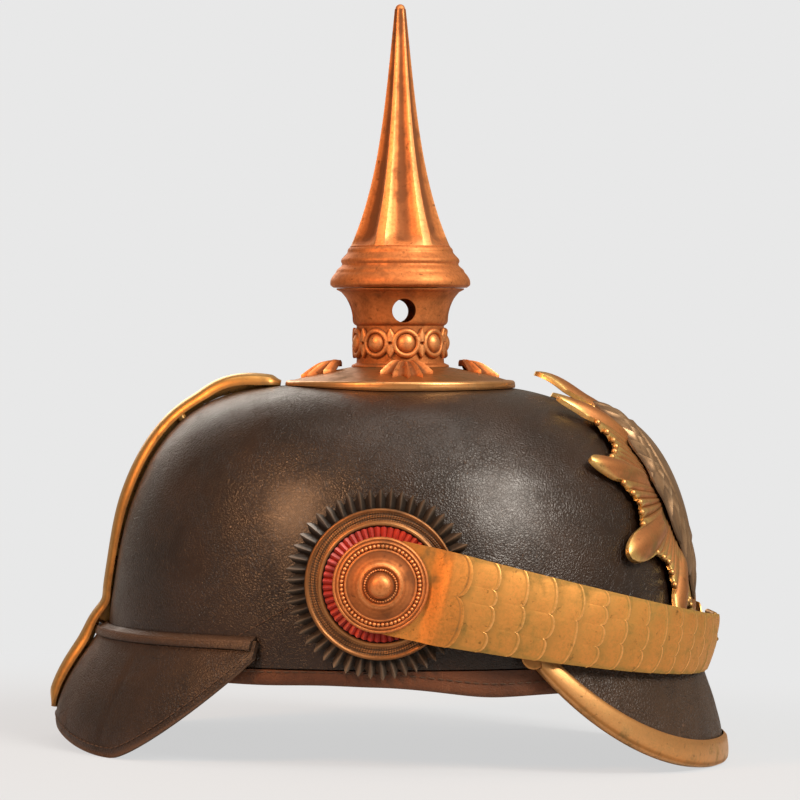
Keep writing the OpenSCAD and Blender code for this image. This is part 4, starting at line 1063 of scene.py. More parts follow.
@dataclass
class Peaks:
    """Both leather peaks, their stitched welts and the front peak's metal trim."""

    welt_height: float = 4.2
    welt_thick: float = 1.2
    welt_low: float = 3.4  # how far it reaches below the seam
    trim_width: float = 9.0
    trim_sheet: float = 0.9
    tab_radius: float = 4.5

    def leather(self, form: PeakForm, bench: Bench, node: str) -> None:
        """One peak: a sheet with a softened lower edge and shallow creases."""
        a = form.span * np.linspace(-1, 1, 161)
        v = np.linspace(0, 1, 41) ** 0.9
        vv, aa = mesh_lines(v, a)
        rounding = 0.45 * hill((1 - vv) * 30, 1.0)
        outer = form.point(aa, vv, form.leather)
        crease = (waves(outer, 34, 11, 3) - 1) * 0.22
        if form.turn:
            fold = hill(np.abs(aa) - 29 + 2.5 * vv, 0.8)
            crease = crease - 0.6 * fold * ease(vv * 3) * ease((1 - vv) * 5)
        crease = crease * ease(vv * 6) * ease((1.02 - vv) * 8)
        outer = form.point(aa, vv, form.leather - rounding + crease)
        inner = form.point(aa, vv, rounding)
        flow = xyz(aa * 2.0, vv * 40, 0.9 * ease((vv - 0.93) / 0.07) * (1 if form.turn else 0))
        shells = Shells().sheet(outer, inner, flow)
        finish = Palette.PEAK if form.turn else Palette.VISOR
        bench.piece(node + "_leather", shells, "helmet", "peak_leather", finish, [node], 55)

    def edge_stitches(self, bench: Bench) -> None:
        """Threads along the rear peak's edge and both of its ends."""
        form = REAR_PEAK
        a = form.span * np.linspace(-0.985, 0.985, 400)
        v = 1 - 3.6 / (DOME.seam - form.edge(a))
        line = form.point(a, v, form.leather + 0.05)
        seams = [(line, form.point(a, v, form.leather + 1.05) - line)]
        bench.threads("rear_edge_stitches", "peak_leather", seams, 2.9, 2.2, 0.24)

    def welt(self, form: PeakForm, reach: float, bench: Bench, node: str) -> None:
        """A flat band over the seam, bowed across and stitched along its lower part."""
        a = reach * np.linspace(-1, 1, 161)
        t, seat = a + form.turn, form.leather + GAP
        top = DOME.seam + self.welt_height / 2
        low = self.welt_low / (DOME.seam - form.edge(a))
        upper = DOME.radius(t, top, GAP)

        def across(share: float, d: float) -> Array:
            """Section of the band: from the lower edge at 0 over the seam at 0.5 to the skull at 1."""
            if share <= 0.5:
                return form.point(a, low * (1 - share / 0.5), seat + d)
            k = (share - 0.5) / 0.5
            r = np.linalg.norm(form.point(a, 0.0, seat + d)[:, :2], axis=1)
            return polar(t, r + (upper + d - r) * ease(k), DOME.seam + (top - DOME.seam) * k)

        outer = [across(s, self.welt_thick * (0.55 + 0.45 * cap(2 * s - 1))) for s in np.linspace(0, 1, 11)]
        inner = [
            form.point(a, low, seat), form.point(a, low * 0.5, seat), form.point(a, 0.0, seat) + [0, 0, GAP],
            polar(t, DOME.radius(t, DOME.seam, GAP), DOME.seam + GAP), polar(t, upper, top),
        ]
        rings = np.stack(outer + inner[::-1], 1)
        relief = np.concatenate([0.5 * cap(np.linspace(-1, 1, 11)), np.full(5, -0.5)])
        shells = Shells().tube(rings, xyz(a[:, None] * 2.0, np.arange(16) * 0.6, relief))
        bench.piece(node + "_band", shells, "helmet", "peak_leather", Palette.PEAK, [node], 50)
        line = across(0.3, self.welt_thick * 0.9)
        bench.threads(node + "_stitches", "peak_leather", [(line, polar(t, 1.0, 0.0))], 2.6, 1.9, 0.22)

    def trim_section(self, a: Array) -> Array:
        """Rings of the folded trim: crowned outside, round the leather's edge and under it."""
        form, thick = FRONT_PEAK, self.trim_sheet
        top = 1 - self.trim_width / (DOME.seam - form.edge(a))
        under = 1 - 0.4 * (1 - top)
        inner, middle = form.leather + 1.5 * GAP, form.leather / 2
        edge = form.point(a, 1.0, 0.0)
        rows = []
        for s in np.linspace(0, 1, 9):
            lip = thick * (1.0 if s else 0.35)
            rows.append(form.point(a, top + (1 - top) * s, inner + lip + 0.4 * cap(2 * s - 1)))
        for k, far in ((35, inner), (70, inner), (110, form.leather + GAP), (145, form.leather + GAP)):
            d = middle + (far - middle + thick) * cosd(k)
            rows.append(edge + polar(a, d, -form.fold * sind(k)))
        rows += [form.point(a, v, d) for v, d in ((1.0, -GAP - thick), (under, -GAP - thick), (under, -GAP))]
        rows += [edge + polar(a, d, -GAP) for d in (-GAP, inner)]
        rows += [form.point(a, v, inner + 0.05) for v in ((top + 1) / 2, top)]
        return np.stack(rows, 1)

    def tab(self, points: Array, side: Side) -> Array:
        """Points from the frame of the trim's end: Z outwards from the peak."""
        angle = FRONT_PEAK.span - 3
        p = turned(turned(points, "Y", 82), "Z", angle + 16)
        p = p + FRONT_PEAK.point(angle + 2, 0.62, FRONT_PEAK.leather + 3 * GAP) - [2, 0, 0]
        return p * np.array([1, side.value, 1])

    def trim(self, bench: Bench) -> None:
        """The trim and the round tab at each of its ends."""
        a = (FRONT_PEAK.span - 1.2) * np.linspace(-1, 1, 181)
        relief = np.concatenate([0.9 * cap(np.linspace(-0.9, 1, 9)), [0.8, 0.6, 0.3, 0], np.full(7, -0.5)])
        shells = Shells().tube(self.trim_section(a), xyz(a[:, None] * 2.0, np.arange(20) * 1.1, relief))
        r = self.tab_radius
        disc = soft_profile([(0, 0), (r, 0), (r, 0.5), (r - 0.35, 0.85), (r - 0.9, 0.9), (0, 0.9)], [1, 4])
        for side in Side:
            shells.join(Shells().revolve(disc, 48, 0.3).moved(lambda p, s=side: self.tab(p, s)))
        bench.piece("front_trim", shells, "helmet", "brass", Palette.TRIM, ["peak_trim"], 45)

    def build(self, bench: Bench) -> None:
        """Makes the peaks with all that is on them."""
        self.leather(REAR_PEAK, bench, "rear_peak")
        self.leather(FRONT_PEAK, bench, "front_peak")
        self.edge_stitches(bench)
        self.welt(REAR_PEAK, REAR_PEAK.span - 0.8, bench, "rear_peak_welt")
        self.welt(FRONT_PEAK, FRONT_PEAK.span - 7, bench, "front_peak_welt")
        self.trim(bench)
        bench.dress(["trim_rivets"], Palette.TRIM)


@dataclass
class Spine:
    """The crowned metal strip from the base disc down the back."""

    width: float = 12.0
    sheet: float = 1.2
    crown: float = 2.2
    stand: float = 1.2
    lift: float = 1.6
    flare: float = 2.6
    top: float = 84.4
    low: float = 12.0
    turned_down: float = 1.1

    def clearance(self, u: Array) -> Array:
        """Gap to the skull at profile angle u: it opens behind and again beside the disc."""
        return GAP + (self.stand * ease((u - 20) / 18) + self.lift * ease((u - 68) / 8)) * ease((84 - u) / 4)

    def path(self) -> tuple[Array, Array]:
        """The strip's middle line: down the dome, over the welt and along the rear peak.

        Returns:
            Its points, and at each the free depth below it.
        """
        u = self.top - (self.top - self.low) * np.arange(25) / 24
        clear = self.clearance(u)
        upper = DOME.point(180, u, clear)
        over = REAR_PEAK.point(0.0, 0.0, REAR_PEAK.leather + 2 * GAP + 1.3) + np.array([0, 0, 2.4])
        i = np.arange(5)
        lower = REAR_PEAK.point(0.0, 0.16 + 0.7 * i / 4, REAR_PEAK.leather + GAP)
        away = self.flare * (0.62 - 0.5 * (i / 4) ** 2)
        free = np.concatenate([clear, [0.6], away])
        points = smooth_path(np.concatenate([upper, over[None], lower - xyz(away, 0, 0)]), 8)
        share = np.linspace(0, len(free) - 1, len(points))
        weights = np.hanning(17)[1:-1] / np.sum(np.hanning(17))
        padded = np.concatenate([2 * points[:1] - points[7:0:-1], points, 2 * points[-1:] - points[-2:-9:-1]])
        points = np.stack([np.convolve(padded[:, k], weights, "valid") for k in range(3)], -1)
        return points, np.interp(share, np.arange(len(free)), free)

    def build(self, bench: Bench) -> None:
        """Makes the strip: across it the crown is a parabola, both edges turn down and a
        rib along the middle of its inside bears on the skull."""
        path, free = self.path()
        along = np.gradient(path, axis=0)
        along /= np.linalg.norm(along, axis=1, keepdims=True)
        out = xyz(along[:, 2], 0, -along[:, 0])[:, None, :]
        run = np.concatenate([[0], np.cumsum(np.linalg.norm(np.diff(path, axis=0), axis=1))])
        left = run[-1] - run
        half = self.width / 2 * np.where(left < 6, cap(1 - left / 6) * 0.75 + 0.25, 1.0)
        half = half * (0.35 + 0.65 * ease(run / 5) ** 0.5)
        s = np.linspace(-1, 1, 25)
        crown = self.crown * (0.3 + 0.7 * ease(run / 4)) * (0.2 + 0.8 * ease(left / 7))
        room = np.minimum(self.turned_down, 0.6 * np.maximum(free - 0.25, 0))
        shape = np.outer(crown, 1 - np.abs(s) ** 2.4) - np.outer(room, ease((np.abs(s) - 0.8) / 0.2))
        z = path[:, 2]
        slit = -path[:, 0] - DOME.radius(180, np.clip(z, DOME.seam, DOME.seam + 30), 0)
        free = np.where((z > DOME.seam + 2.5) & (z < DOME.seam + 16), np.maximum(free, slit), free)
        rib = np.outer(free + 0.5 + self.crown, 1 - ease(np.abs(s) / 0.22))
        middle = path[:, None, :] + xyz(0, np.outer(half, s), 0)
        roll = 1 - 0.3 * ease((np.abs(s) - 0.9) / 0.1)
        outer = middle + out * (shape + self.sheet * roll)[..., None]
        inner = middle + out * (shape - rib)[..., None]
        shells = Shells().sheet(outer, inner, xyz(run[:, None], s * 6, 0.85 - 1.2 * np.abs(s) ** 4))
        bench.piece("spine_strip", shells, "helmet", "brass", Palette.BRASS, ["rear_spine"], 45)
        bench.dress(["spine_screws"], Palette.FASTENER)


@dataclass
class SpikeBase:
    """Disc, fan-headed studs, neck, pearl ring and spike, all turned a little about the axis."""

    turn: float = 4.5
    disc_radius: float = 43.0
    base_top: float = 143.578
    disc_top: float = 148.578
    sheet: float = 1.2
    stud_ring: float = 29.0
    neck_radius: float = 16.6
    lip: float = 24.2
    neck_foot: float = 148.878
    neck_top: float = 178.378
    vent: float = 4.45
    collar: float = 12.0
    pearls: int = 9
    pearl: float = 7.8
    pearl_out: float = 1.9
    ring_low: float = 151.478
    ring_height: float = 12.4
    foot: float = 26.6
    foot_height: float = 16.0
    shaft_radius: float = 19.6
    tip: float = 2.1
    spike_low: float = 178.678
    spike_height: float = 107.5
    flutes: int = 6
    flute_cut: float = 0.2

    def about(self, points: Array) -> Array:
        """Points turned with the fitting about the helmet's axis."""
        return turned(points, "Z", self.turn)

    def disc_height(self, r: Array) -> Array:
        """Height of the disc's top at radius r, between three turned steps."""
        steps = (
            (self.neck_radius + 4, self.disc_top - 0.4), (self.stud_ring + 3, self.base_top + 2.4),
            (self.disc_radius - 4, self.base_top + 0.3),
        )
        return np.interp(r, *zip(*steps))

    def disc(self, bench: Bench) -> None:
        """The disc: a shallow dish whose bright rim follows the crown below it."""
        r, top, n, high = self.disc_radius + 0.7, self.base_top, self.neck_radius, self.disc_top
        foot = np.array([[-0.15, 0.0], [-0.15, 0.25], [0.0, 0.45]]) + [r, 0]
        rim = np.array([[0.0, -1.9], [-0.12, -1.3], [-0.1, -1.0], [-0.35, -0.45], [-0.9, -0.1], [-1.7, 0.0]])
        upper = smooth_path([
            [r - 2.2, top - 0.12], [r - 4, top + 0.3], [self.stud_ring + 3, top + 2.4], [n + 4, high - 0.4],
            [n + 2.2, high - 0.1],
        ], 10)
        profile = np.concatenate([foot, rim + [r, top], upper, [[n + 1, high], [n - 3, high]]])
        rr, tt = mesh_lines(profile[:, 0], circle(256))
        flat, inner_r = profile[:, 1:], np.minimum(rr, r - self.sheet)
        outside, inside = (DOME.height(tt + self.turn, radius, GAP) for radius in (rr, inner_r))
        zz = np.where(flat < 1, outside + flat, flat)
        under = np.where(flat < 1, inside, np.minimum(zz, top + 9) - self.sheet)
        under = np.maximum(under, inside + flat * 1e-4)
        relief = np.zeros(len(profile))
        relief[:12] = [0.2, 0.3, 0.55, 0.6, 0.45, 0.6, 0.95, 0.9, 0.5, -0.7, -0.7, -0.7]
        flow = xyz(tt * 0.7, rr, relief[:, None])
        shells = Shells().sheet(polar(tt, rr, zz), polar(tt, inner_r, under), flow, wrap=True)
        shells.moved(self.about)
        bench.piece("crown_disc", shells, "helmet", "copper_gilt", Palette.DISC, ["base_disc"], 50)

    def fan(self, a: Array, s: Array, d: float) -> tuple[Array, Array]:
        """A fan-shaped leaf: five ridges run out from its foot to pointed lobes.

        Args:
            a: angle from the fan's middle, up to 75 degrees.
            s: share of the way from its foot to its edge.
            d: distance above its under side.

        Returns:
            The points and their relief.
        """
        rib = 1 - np.abs(sind(a * 6)) ** 0.8
        reach = 15.8 * (0.74 + 0.26 * rib) * s
        x = self.stud_ring - 7 + reach * cosd(a)
        y = reach * sind(a) * 0.72
        swell = 0.8 + 2.6 * np.sin(np.pi * s**0.8) * (1 - 0.25 * s) - 0.8 * s
        ridge = 0.85 * rib * np.minimum(s * 1.8, 1) * (1 - 0.35 * s**4)
        z = self.disc_height(np.hypot(x, y)) + 0.05 + (swell + ridge + d - 0.3 if d > 0 else 0.6 * swell)
        return xyz(x, y, z), (rib - 0.45) * 1.6

    def studs(self, bench: Bench) -> None:
        """Four fans with their shanks."""
        ss, aa = mesh_lines(0.06 + 0.94 * np.linspace(0, 1, 19), 75 * np.linspace(-1, 1, 91))
        top, relief = self.fan(aa, ss, 1.0)
        under, _ = self.fan(aa, ss, 0.0)
        shank = Shells().revolve(np.array([[0, 133.5], [2, 133.5], [2, 149], [0, 149]]), 24)
        shank.moved(lambda p: p + [self.stud_ring, 0, 0])
        one = Shells().sheet(top, under, xyz(ss * 15, aa * 0.2, relief)).join(shank).moved(self.about)
        shells = Shells()
        for _ in range(4):
            shells.join(one)
            one.moved(lambda p: turned(p, "Z", 90))
        bench.piece("crown_fans", shells, "helmet", "copper_gilt", Palette.COPPER, ["base_studs"], 50)
        bench.dress(["stud_nuts", "spike_bush", "neck_collar"], Palette.FASTENER)

    def neck(self, bench: Bench) -> None:
        """The trumpet-shaped neck; four vents are cut through its wall."""
        n, foot, top = self.neck_radius, self.neck_foot, self.neck_top
        ring_top = self.ring_low + self.ring_height + GAP
        out = soft_profile([
            (n + 2, foot - 0.28), (n + 1.7, foot + 0.5), (n + 0.5, foot + 1.1), (n, foot + 2.4),
            (n, ring_top), (n + 1.3, top - 13), (n + 1.9, top - 9.8), (n + 2.7, top - 6.6),
            (n + 3.8, top - 3.9), (self.lip - 1.8, top - 1.4), (self.lip, top - 0.5), (self.lip, top),
        ], [4, 9, 10, 11], 6)
        inside = np.array([
            [self.collar + GAP, top], [self.collar + GAP, top - 1.2], [self.collar + 2.5, top - 1.2],
            [n + 3.8 - self.sheet, top - 3.9], [n + 1.9 - self.sheet, top - 9.8],
            [n + 1.3 - self.sheet, top - 13], [n - self.sheet, ring_top], [n - self.sheet, foot],
        ])
        relief = 0.7 * hill(out[:, 1] - top, 1.4) - 0.5 * hill(out[:, 1] - ring_top, 2.0)
        relief = np.append(relief, np.full(len(inside), -0.6))
        shells = Shells().revolve(np.concatenate([out, inside]), 224, relief, closed=True).moved(self.about)
        made = bench.piece("spike_neck", shells, "helmet", "copper_gilt", Palette.COPPER, ["neck"], 50)
        for k in range(2):
            bore = polar(circle(64), self.vent, np.array([[-31.0], [31.0]]))
            bore = turned(turned(bore, "X", 90), "Z", 90 * k) + [0, 0, top - 8.5]
            cutter = Shells().tube(bore, 0 * bore).moved(lambda p: STANCE.apply(self.about(p)))
            tool = bpy.data.objects.new(f"vent_bore_{k}", cutter.mesh("vent_bore", 40))
            bpy.context.scene.collection.objects.link(tool)
            cut = made.modifiers.new(f"vent_{k}", "BOOLEAN")
            cut.operation, cut.solver, cut.object = "DIFFERENCE", "EXACT", tool
            bpy.context.view_layer.update()
            final = bpy.data.meshes.new_from_object(made.evaluated_get(bpy.context.evaluated_depsgraph_get()))
            made.modifiers.clear()
            made.data = final
            bpy.data.objects.remove(tool)
        made.data.materials.clear()
        made.data.materials.append(bench.palette.of(Palette.COPPER))
        made.data.set_sharp_from_angle(angle=math.radians(40))

    def pearl_ring(self, bench: Bench) -> None:
        """A band of domed pearls in round frames, with a pointed leaf above and below each joint.

        Round the band the relief is the highest of three forms at arc x and height y: the
        pearl's cap, the frame's half circle in section, and a leaf's rounded back at each joint.
        """
        base, mid = self.neck_radius + GAP, self.ring_low + self.ring_height / 2
        pitch = 2 * math.pi * (base + 0.7) / self.pearls
        t = circle(self.pearls * 72)
        x = ((t * self.pearls / 360 + 0.5) % 1 - 0.5) * pitch
        leaf = pitch / 2 - np.abs(x)
        frame = self.pearl / 2 + 0.75
        half = np.maximum(1.12 * (frame + 0.62) * cap(x / (frame + 0.9)), 3.4 + 2.4 * hill(leaf, 1.25))
        half = np.minimum(half, self.ring_height / 2 - 0.1)
        ss = np.linspace(-1, 1, 64)[:, None]
        y = ss * half
        rho = np.hypot(x, y)
        sphere = ((self.pearl / 2) ** 2 + self.pearl_out**2) / (2 * self.pearl_out)
        pearl = np.sqrt(np.clip(sphere**2 - rho**2, 0, None)) - (sphere - self.pearl_out)
        rim = np.where(np.abs(rho - frame) < 0.95, 0.5 + 0.8 * cap((rho - frame) / 0.95), 0)
        blade = 1.75 * np.clip((5.7 - np.abs(y)) / 2.6, 0.01, 1) ** 0.8
        drop = np.where((leaf < blade) & (np.abs(y) > 0.5), 0.4 + 1.0 * cap(leaf / blade), 0)
        h = np.maximum.reduce([np.full_like(y, 0.3), np.where(rho < self.pearl / 2, pearl, 0), rim, drop])
        h = h * (0.25 + 0.75 * cap(ss * 0.995) ** 0.3)
        outer, inner = (polar(t - 87, base + out, mid + y) for out in (h, 0))
        flow = xyz(t * 0.3, y, np.clip((h - 0.75) * 1.3, -0.7, 1))
        shells = Shells().sheet(outer, inner, flow, wrap=True).moved(self.about)
        bench.piece("pearl_band", shells, "helmet", "copper_gilt", Palette.COPPER, ["pearl_ring"], 60)

    def spike(self, bench: Bench) -> None:
        """The fluted shaft and its mouldings.

        Across the ridges the radius falls in a straight part and a part to the power 3.9;
        between two ridges it dips by a share that follows a flattened sine.
        """
        ball = self.tip * 0.88
        low = self.spike_low + self.foot_height - 2
        height = self.spike_height - self.foot_height + 2 - ball
        ss = np.linspace(0, 1, 150)[:, None] ** 1.2
        f = np.arange(self.flutes * 40) / 40.0
        part, angle = f % 1, 90 + 360 / self.flutes * (f + 0.5)
        radius = self.tip + (self.shaft_radius - self.tip) * (0.52 * (1 - ss) + 0.48 * (1 - ss) ** 3.9)
        wave = np.where((part < 0.1) | (part > 0.9), 0, np.abs(sind(180 * (part - 0.1) / 0.8)) ** 0.85)
        depth = self.flute_cut * ease(ss / 0.07) * (1 - 0.5 * ease((ss - 0.75) / 0.25))
        dome = np.linspace(4, 88, 9)[:, None]
        rings = np.concatenate([
            polar(angle, radius * (1 - depth * wave), low + height * ss),
            polar(angle, ball * cosd(dome), low + height + ball * sind(dome)),
        ])
        relief = np.concatenate([0.9 - 1.5 * wave * ease(ss / 0.05), np.full((9, len(f)), 0.6)])
        shells = Shells().tube(rings, xyz(angle * 0.3, rings[..., 2], relief))
        fr, shaft = self.foot, self.shaft_radius - self.foot
        profile = soft_profile([
            (-fr, 9), (14.5 - fr, 9), (14.5 - fr, 2.6), (-2, 0), (-1.3, 0), (-0.2, 0.8), (0, 1.7), (-0.2, 3),
            (-1.1, 4.6), (-1.8, 5.4), (-2.1, 5.8), (-2.7, 6.9), (-4.2, 8.2), (-4.5, 9), (-4.1, 9.9),
            (-4.3, 10.8), (-5, 11.6), (shaft + 0.6, 13.2), (shaft + 0.3, 14.4), (shaft - 0.6, 15.4),
            (shaft - 2.5, 15.9), (-fr, 16),
        ], [1, 2, 3, 4, 9, 13, 16], 5, (fr, self.spike_low))
        shells.join(Shells().revolve(profile, 224, 0.25)).moved(self.about)
        bench.piece("spike_shaft", shells, "spike", "copper_gilt", Palette.COPPER, ["spike"], 42)

    def build(self, bench: Bench) -> None:
        """Makes the whole fitting."""
        self.disc(bench)
        self.studs(bench)
        self.neck(bench)
        self.pearl_ring(bench)
        self.spike(bench)


@dataclass
class FrontPlate:
    """The star plate on the skull's front, with a plain shield in a wreath."""

    rise: float = 36.4
    ray: float = 60.0
    sheet: float = 1.0
    stand: float = 1.4
    scale: float = 1.6212  # millimetres of skull in a degree of profile
    core: float = 0.66
    rib: float = 0.18
    curl: float = 3.4
    lobe: float = 0.72
    relief_height: float = 84.0
    relief_width: float = 41.0
    relief_middle: float = 8.936
    relief_swell: float = 4.4
    relief_stand: float = 1.6
    rays: tuple = (
        (90, 1.13, 7.6, 0.8, 3), (60, 1, 7.2, 0.85, 6), (17, 0.985, 6.9, 0.8, 5),
        (-18, 1.07, 6.7, 0.75, 5), (-52, 0.95, 7.5, 0.7, 5), (-90, 0.74, 9, 0.5, 1),
    )  # angle, reach, half width in degrees, roundness, ribs down to the next ray

    def on_front(self, across: Array, up: Array, d: Array) -> Array:
        """Points of the skull's front at distances across and up from the star's centre."""
        u = np.minimum(86, self.rise + up / self.scale)
        span = DOME.plan(0.0) * np.maximum(cosd(u), 0) ** (2 / DOME.front_power)
        return DOME.point(across / np.maximum(0.28 * DOME.front, span) * 180 / math.pi, u, d)

    def reach(self, a: Array) -> tuple[Array, Array, Array]:
        """Outline of the star in direction a: rays are powers of a parabola, and between
        them the ends of the ribs follow a hollow curve.

        Returns:
            The reach, the ray's share (1 on its middle line, 0 beside it) and the rib wave.
        """
        half = np.where(a > 90, 180 - a, np.where(a < -90, -180 - a, a))
        near = np.min([np.abs(half - r[0]) for r in self.rays], axis=0)
        rib = self.core + self.rib * (1 - np.minimum(1, near / 19)) ** 1.4
        out, share, wave = rib, np.zeros_like(half), np.zeros_like(half)
        for angle, reach, width, power, _ in self.rays:
            off = np.abs(half - angle) / width
            form = reach * (self.lobe + (1 - self.lobe) * (1 - np.minimum(1, off) ** 2) ** power)
            out = np.where(off < 1, np.maximum(np.minimum(rib, reach), form), out)
            share = np.maximum(share, 1 - off)
        for high, low, ribs in self.spans():
            q = (half - low) / (high - low)
            inside = (q > -0.6 / ribs) & (q < 1 + 0.6 / ribs)
            wave = np.where(inside, np.abs(cosd(180 * q * (ribs - 1))), wave)
        return self.ray * (out + 0.02 * (wave - 0.5) * (share <= 0)), share, wave

    def star(self, bench: Bench) -> None:
        """The star: every ray swells towards its middle and fine ribs run out from the core."""
        a = circle(1120) - 180
        s = np.concatenate([np.linspace(0.1, 0.9, 34), [0.93, 0.955, 0.975, 0.99, 1.0]])
        edge, share, wave = self.reach(a)
        ss, aa = mesh_lines(s, a)
        r = edge[None, :] * ss
        on_ray = ease(share / 0.22)[None, :]
        far = ease((ss - 0.3) / 0.25)
        swell = 3.4 * (1 - (1 - np.clip(share, 0, 1)) ** 2)[None, :] ** 0.85 * far
        swell = swell * (0.35 + 0.65 * cap((ss - 0.72) / 0.29))
        ribs = (0.5 + 0.9 * ss) * wave[None, :] ** 0.7 * (1 - on_ray) * far
        fold = 0.35 * np.abs(cosd(aa * 40)) * on_ray * (1 - ease((ss - 0.5) / 0.25)) * far
        height = swell + ribs + fold
        lift = self.curl * ease((r * sind(aa) / self.ray - 0.8) / 0.33)
        x, y = r * cosd(aa), r * sind(aa)
        top = self.on_front(x, y, self.stand + self.sheet * 0.9 + lift + height)
        under = self.on_front(x, y, self.stand + lift + height * 0.75 - 0.25)
        green = ease((ss - 0.9) / 0.1)
        relief = np.clip(swell * 0.2 + ribs * 0.8 + fold - 0.5 + 0.9 * green, -0.7, 0.9)
        shells = Shells().sheet(top, under, xyz(r, aa, relief), wrap=True)
        tips, d = self.bead_places(), self.stand + self.sheet + 0.55
        centres = self.on_front(*tips, d)
        up = self.on_front(*tips, d + 1) - centres
        shells.copies(placed(ball(1.3), centres, np.cross(up, [0.3, 1, 0.1]), up), 0.45)
        bench.piece("star_plate", shells, "helmet", "brass", Palette.PLATE, ["front_plate"], 55)

    def spans(self) -> list[tuple[float, float, int]]:
        """Upper and lower end and number of the ribs between each two rays."""
        pairs = zip(self.rays[:-1], self.rays[1:])
        return [(one[0] - one[2] - 0.4, below[0] + below[2] + 0.4, one[4]) for one, below in pairs]

    def bead_places(self) -> tuple[Array, Array]:
        """How far across and up the ends of the ribs lie."""
        a = np.concatenate([np.linspace(low, high, ribs) for high, low, ribs in self.spans()])
        a = np.concatenate([a, 180 - a])
        edge = self.reach(np.where(a > 180, a - 360, a))[0] - 0.4
        return edge * cosd(a), edge * sind(a)

    def wreath(self, bench: Bench) -> None:
        """The applied relief: rows of overlapping leaves round a plain curved shield.

        The oval's radius is waved at its edge; leaves are ridges of a sawtooth along the
        wreath, crossed by a half wave over its width; the shield is a low pillow.
        """
        ss, aa = mesh_lines(np.linspace(0.002, 1, 60), circle(640))
        edge = 1 + 0.05 * sind(aa * 16) * ease((ss - 0.8) / 0.2)
        x = self.relief_width / 2 * ss * edge * cosd(aa)
        y = self.relief_height / 2 * ss * edge * sind(aa) * (1 - 0.12 * sind(aa)) + self.relief_middle
        band = np.clip((ss - 0.6) / 0.4, 0, 1)
        saw = (aa / 11.25 * np.where(aa > 180, -1, 1) + band * 1.2) % 1
        leaf = (1 - saw) * np.sin(np.pi * band) ** 0.7 * 1.3
        vein = -0.3 * hill(band - 0.5, 0.07) * (band > 0)
        pillow = 0.9 * cap(ss / 0.62) ** 0.6 + 0.5 * hill(ss - 0.56, 0.025)
        swell = self.relief_swell * (1 - ss**2)
        height = np.where(ss < 0.6, pillow, 0.2 + leaf + vein) * (0.2 + 0.8 * cap(ss * 0.99) ** 0.5)
        lying = self.stand + self.sheet + self.relief_stand
        top = self.on_front(x, y, lying + 0.6 + swell + height)
        under = self.on_front(x, y, lying + swell)
        rim = 0.3 * ease((0.60 - ss) / 0.05) * hill(ss - 0.6, 0.02)
        relief = np.clip(np.where(ss < 0.6, 0.15, leaf - 0.6) - rim, -0.8, 0.9)
        shells = Shells().sheet(top, under, xyz(x, y, relief), wrap=True)
        bench.piece("wreath_and_shield", shells, "helmet", "plate_relief", Palette.RELIEF,
                    ["plate_emblem"], 55)

    def build(self, bench: Bench) -> None:
        """Makes the plate and dresses its fasteners."""
        self.star(bench)
        self.wreath(bench)
        bench.dress(["plate_posts", "plate_nuts"], Palette.FASTENER)


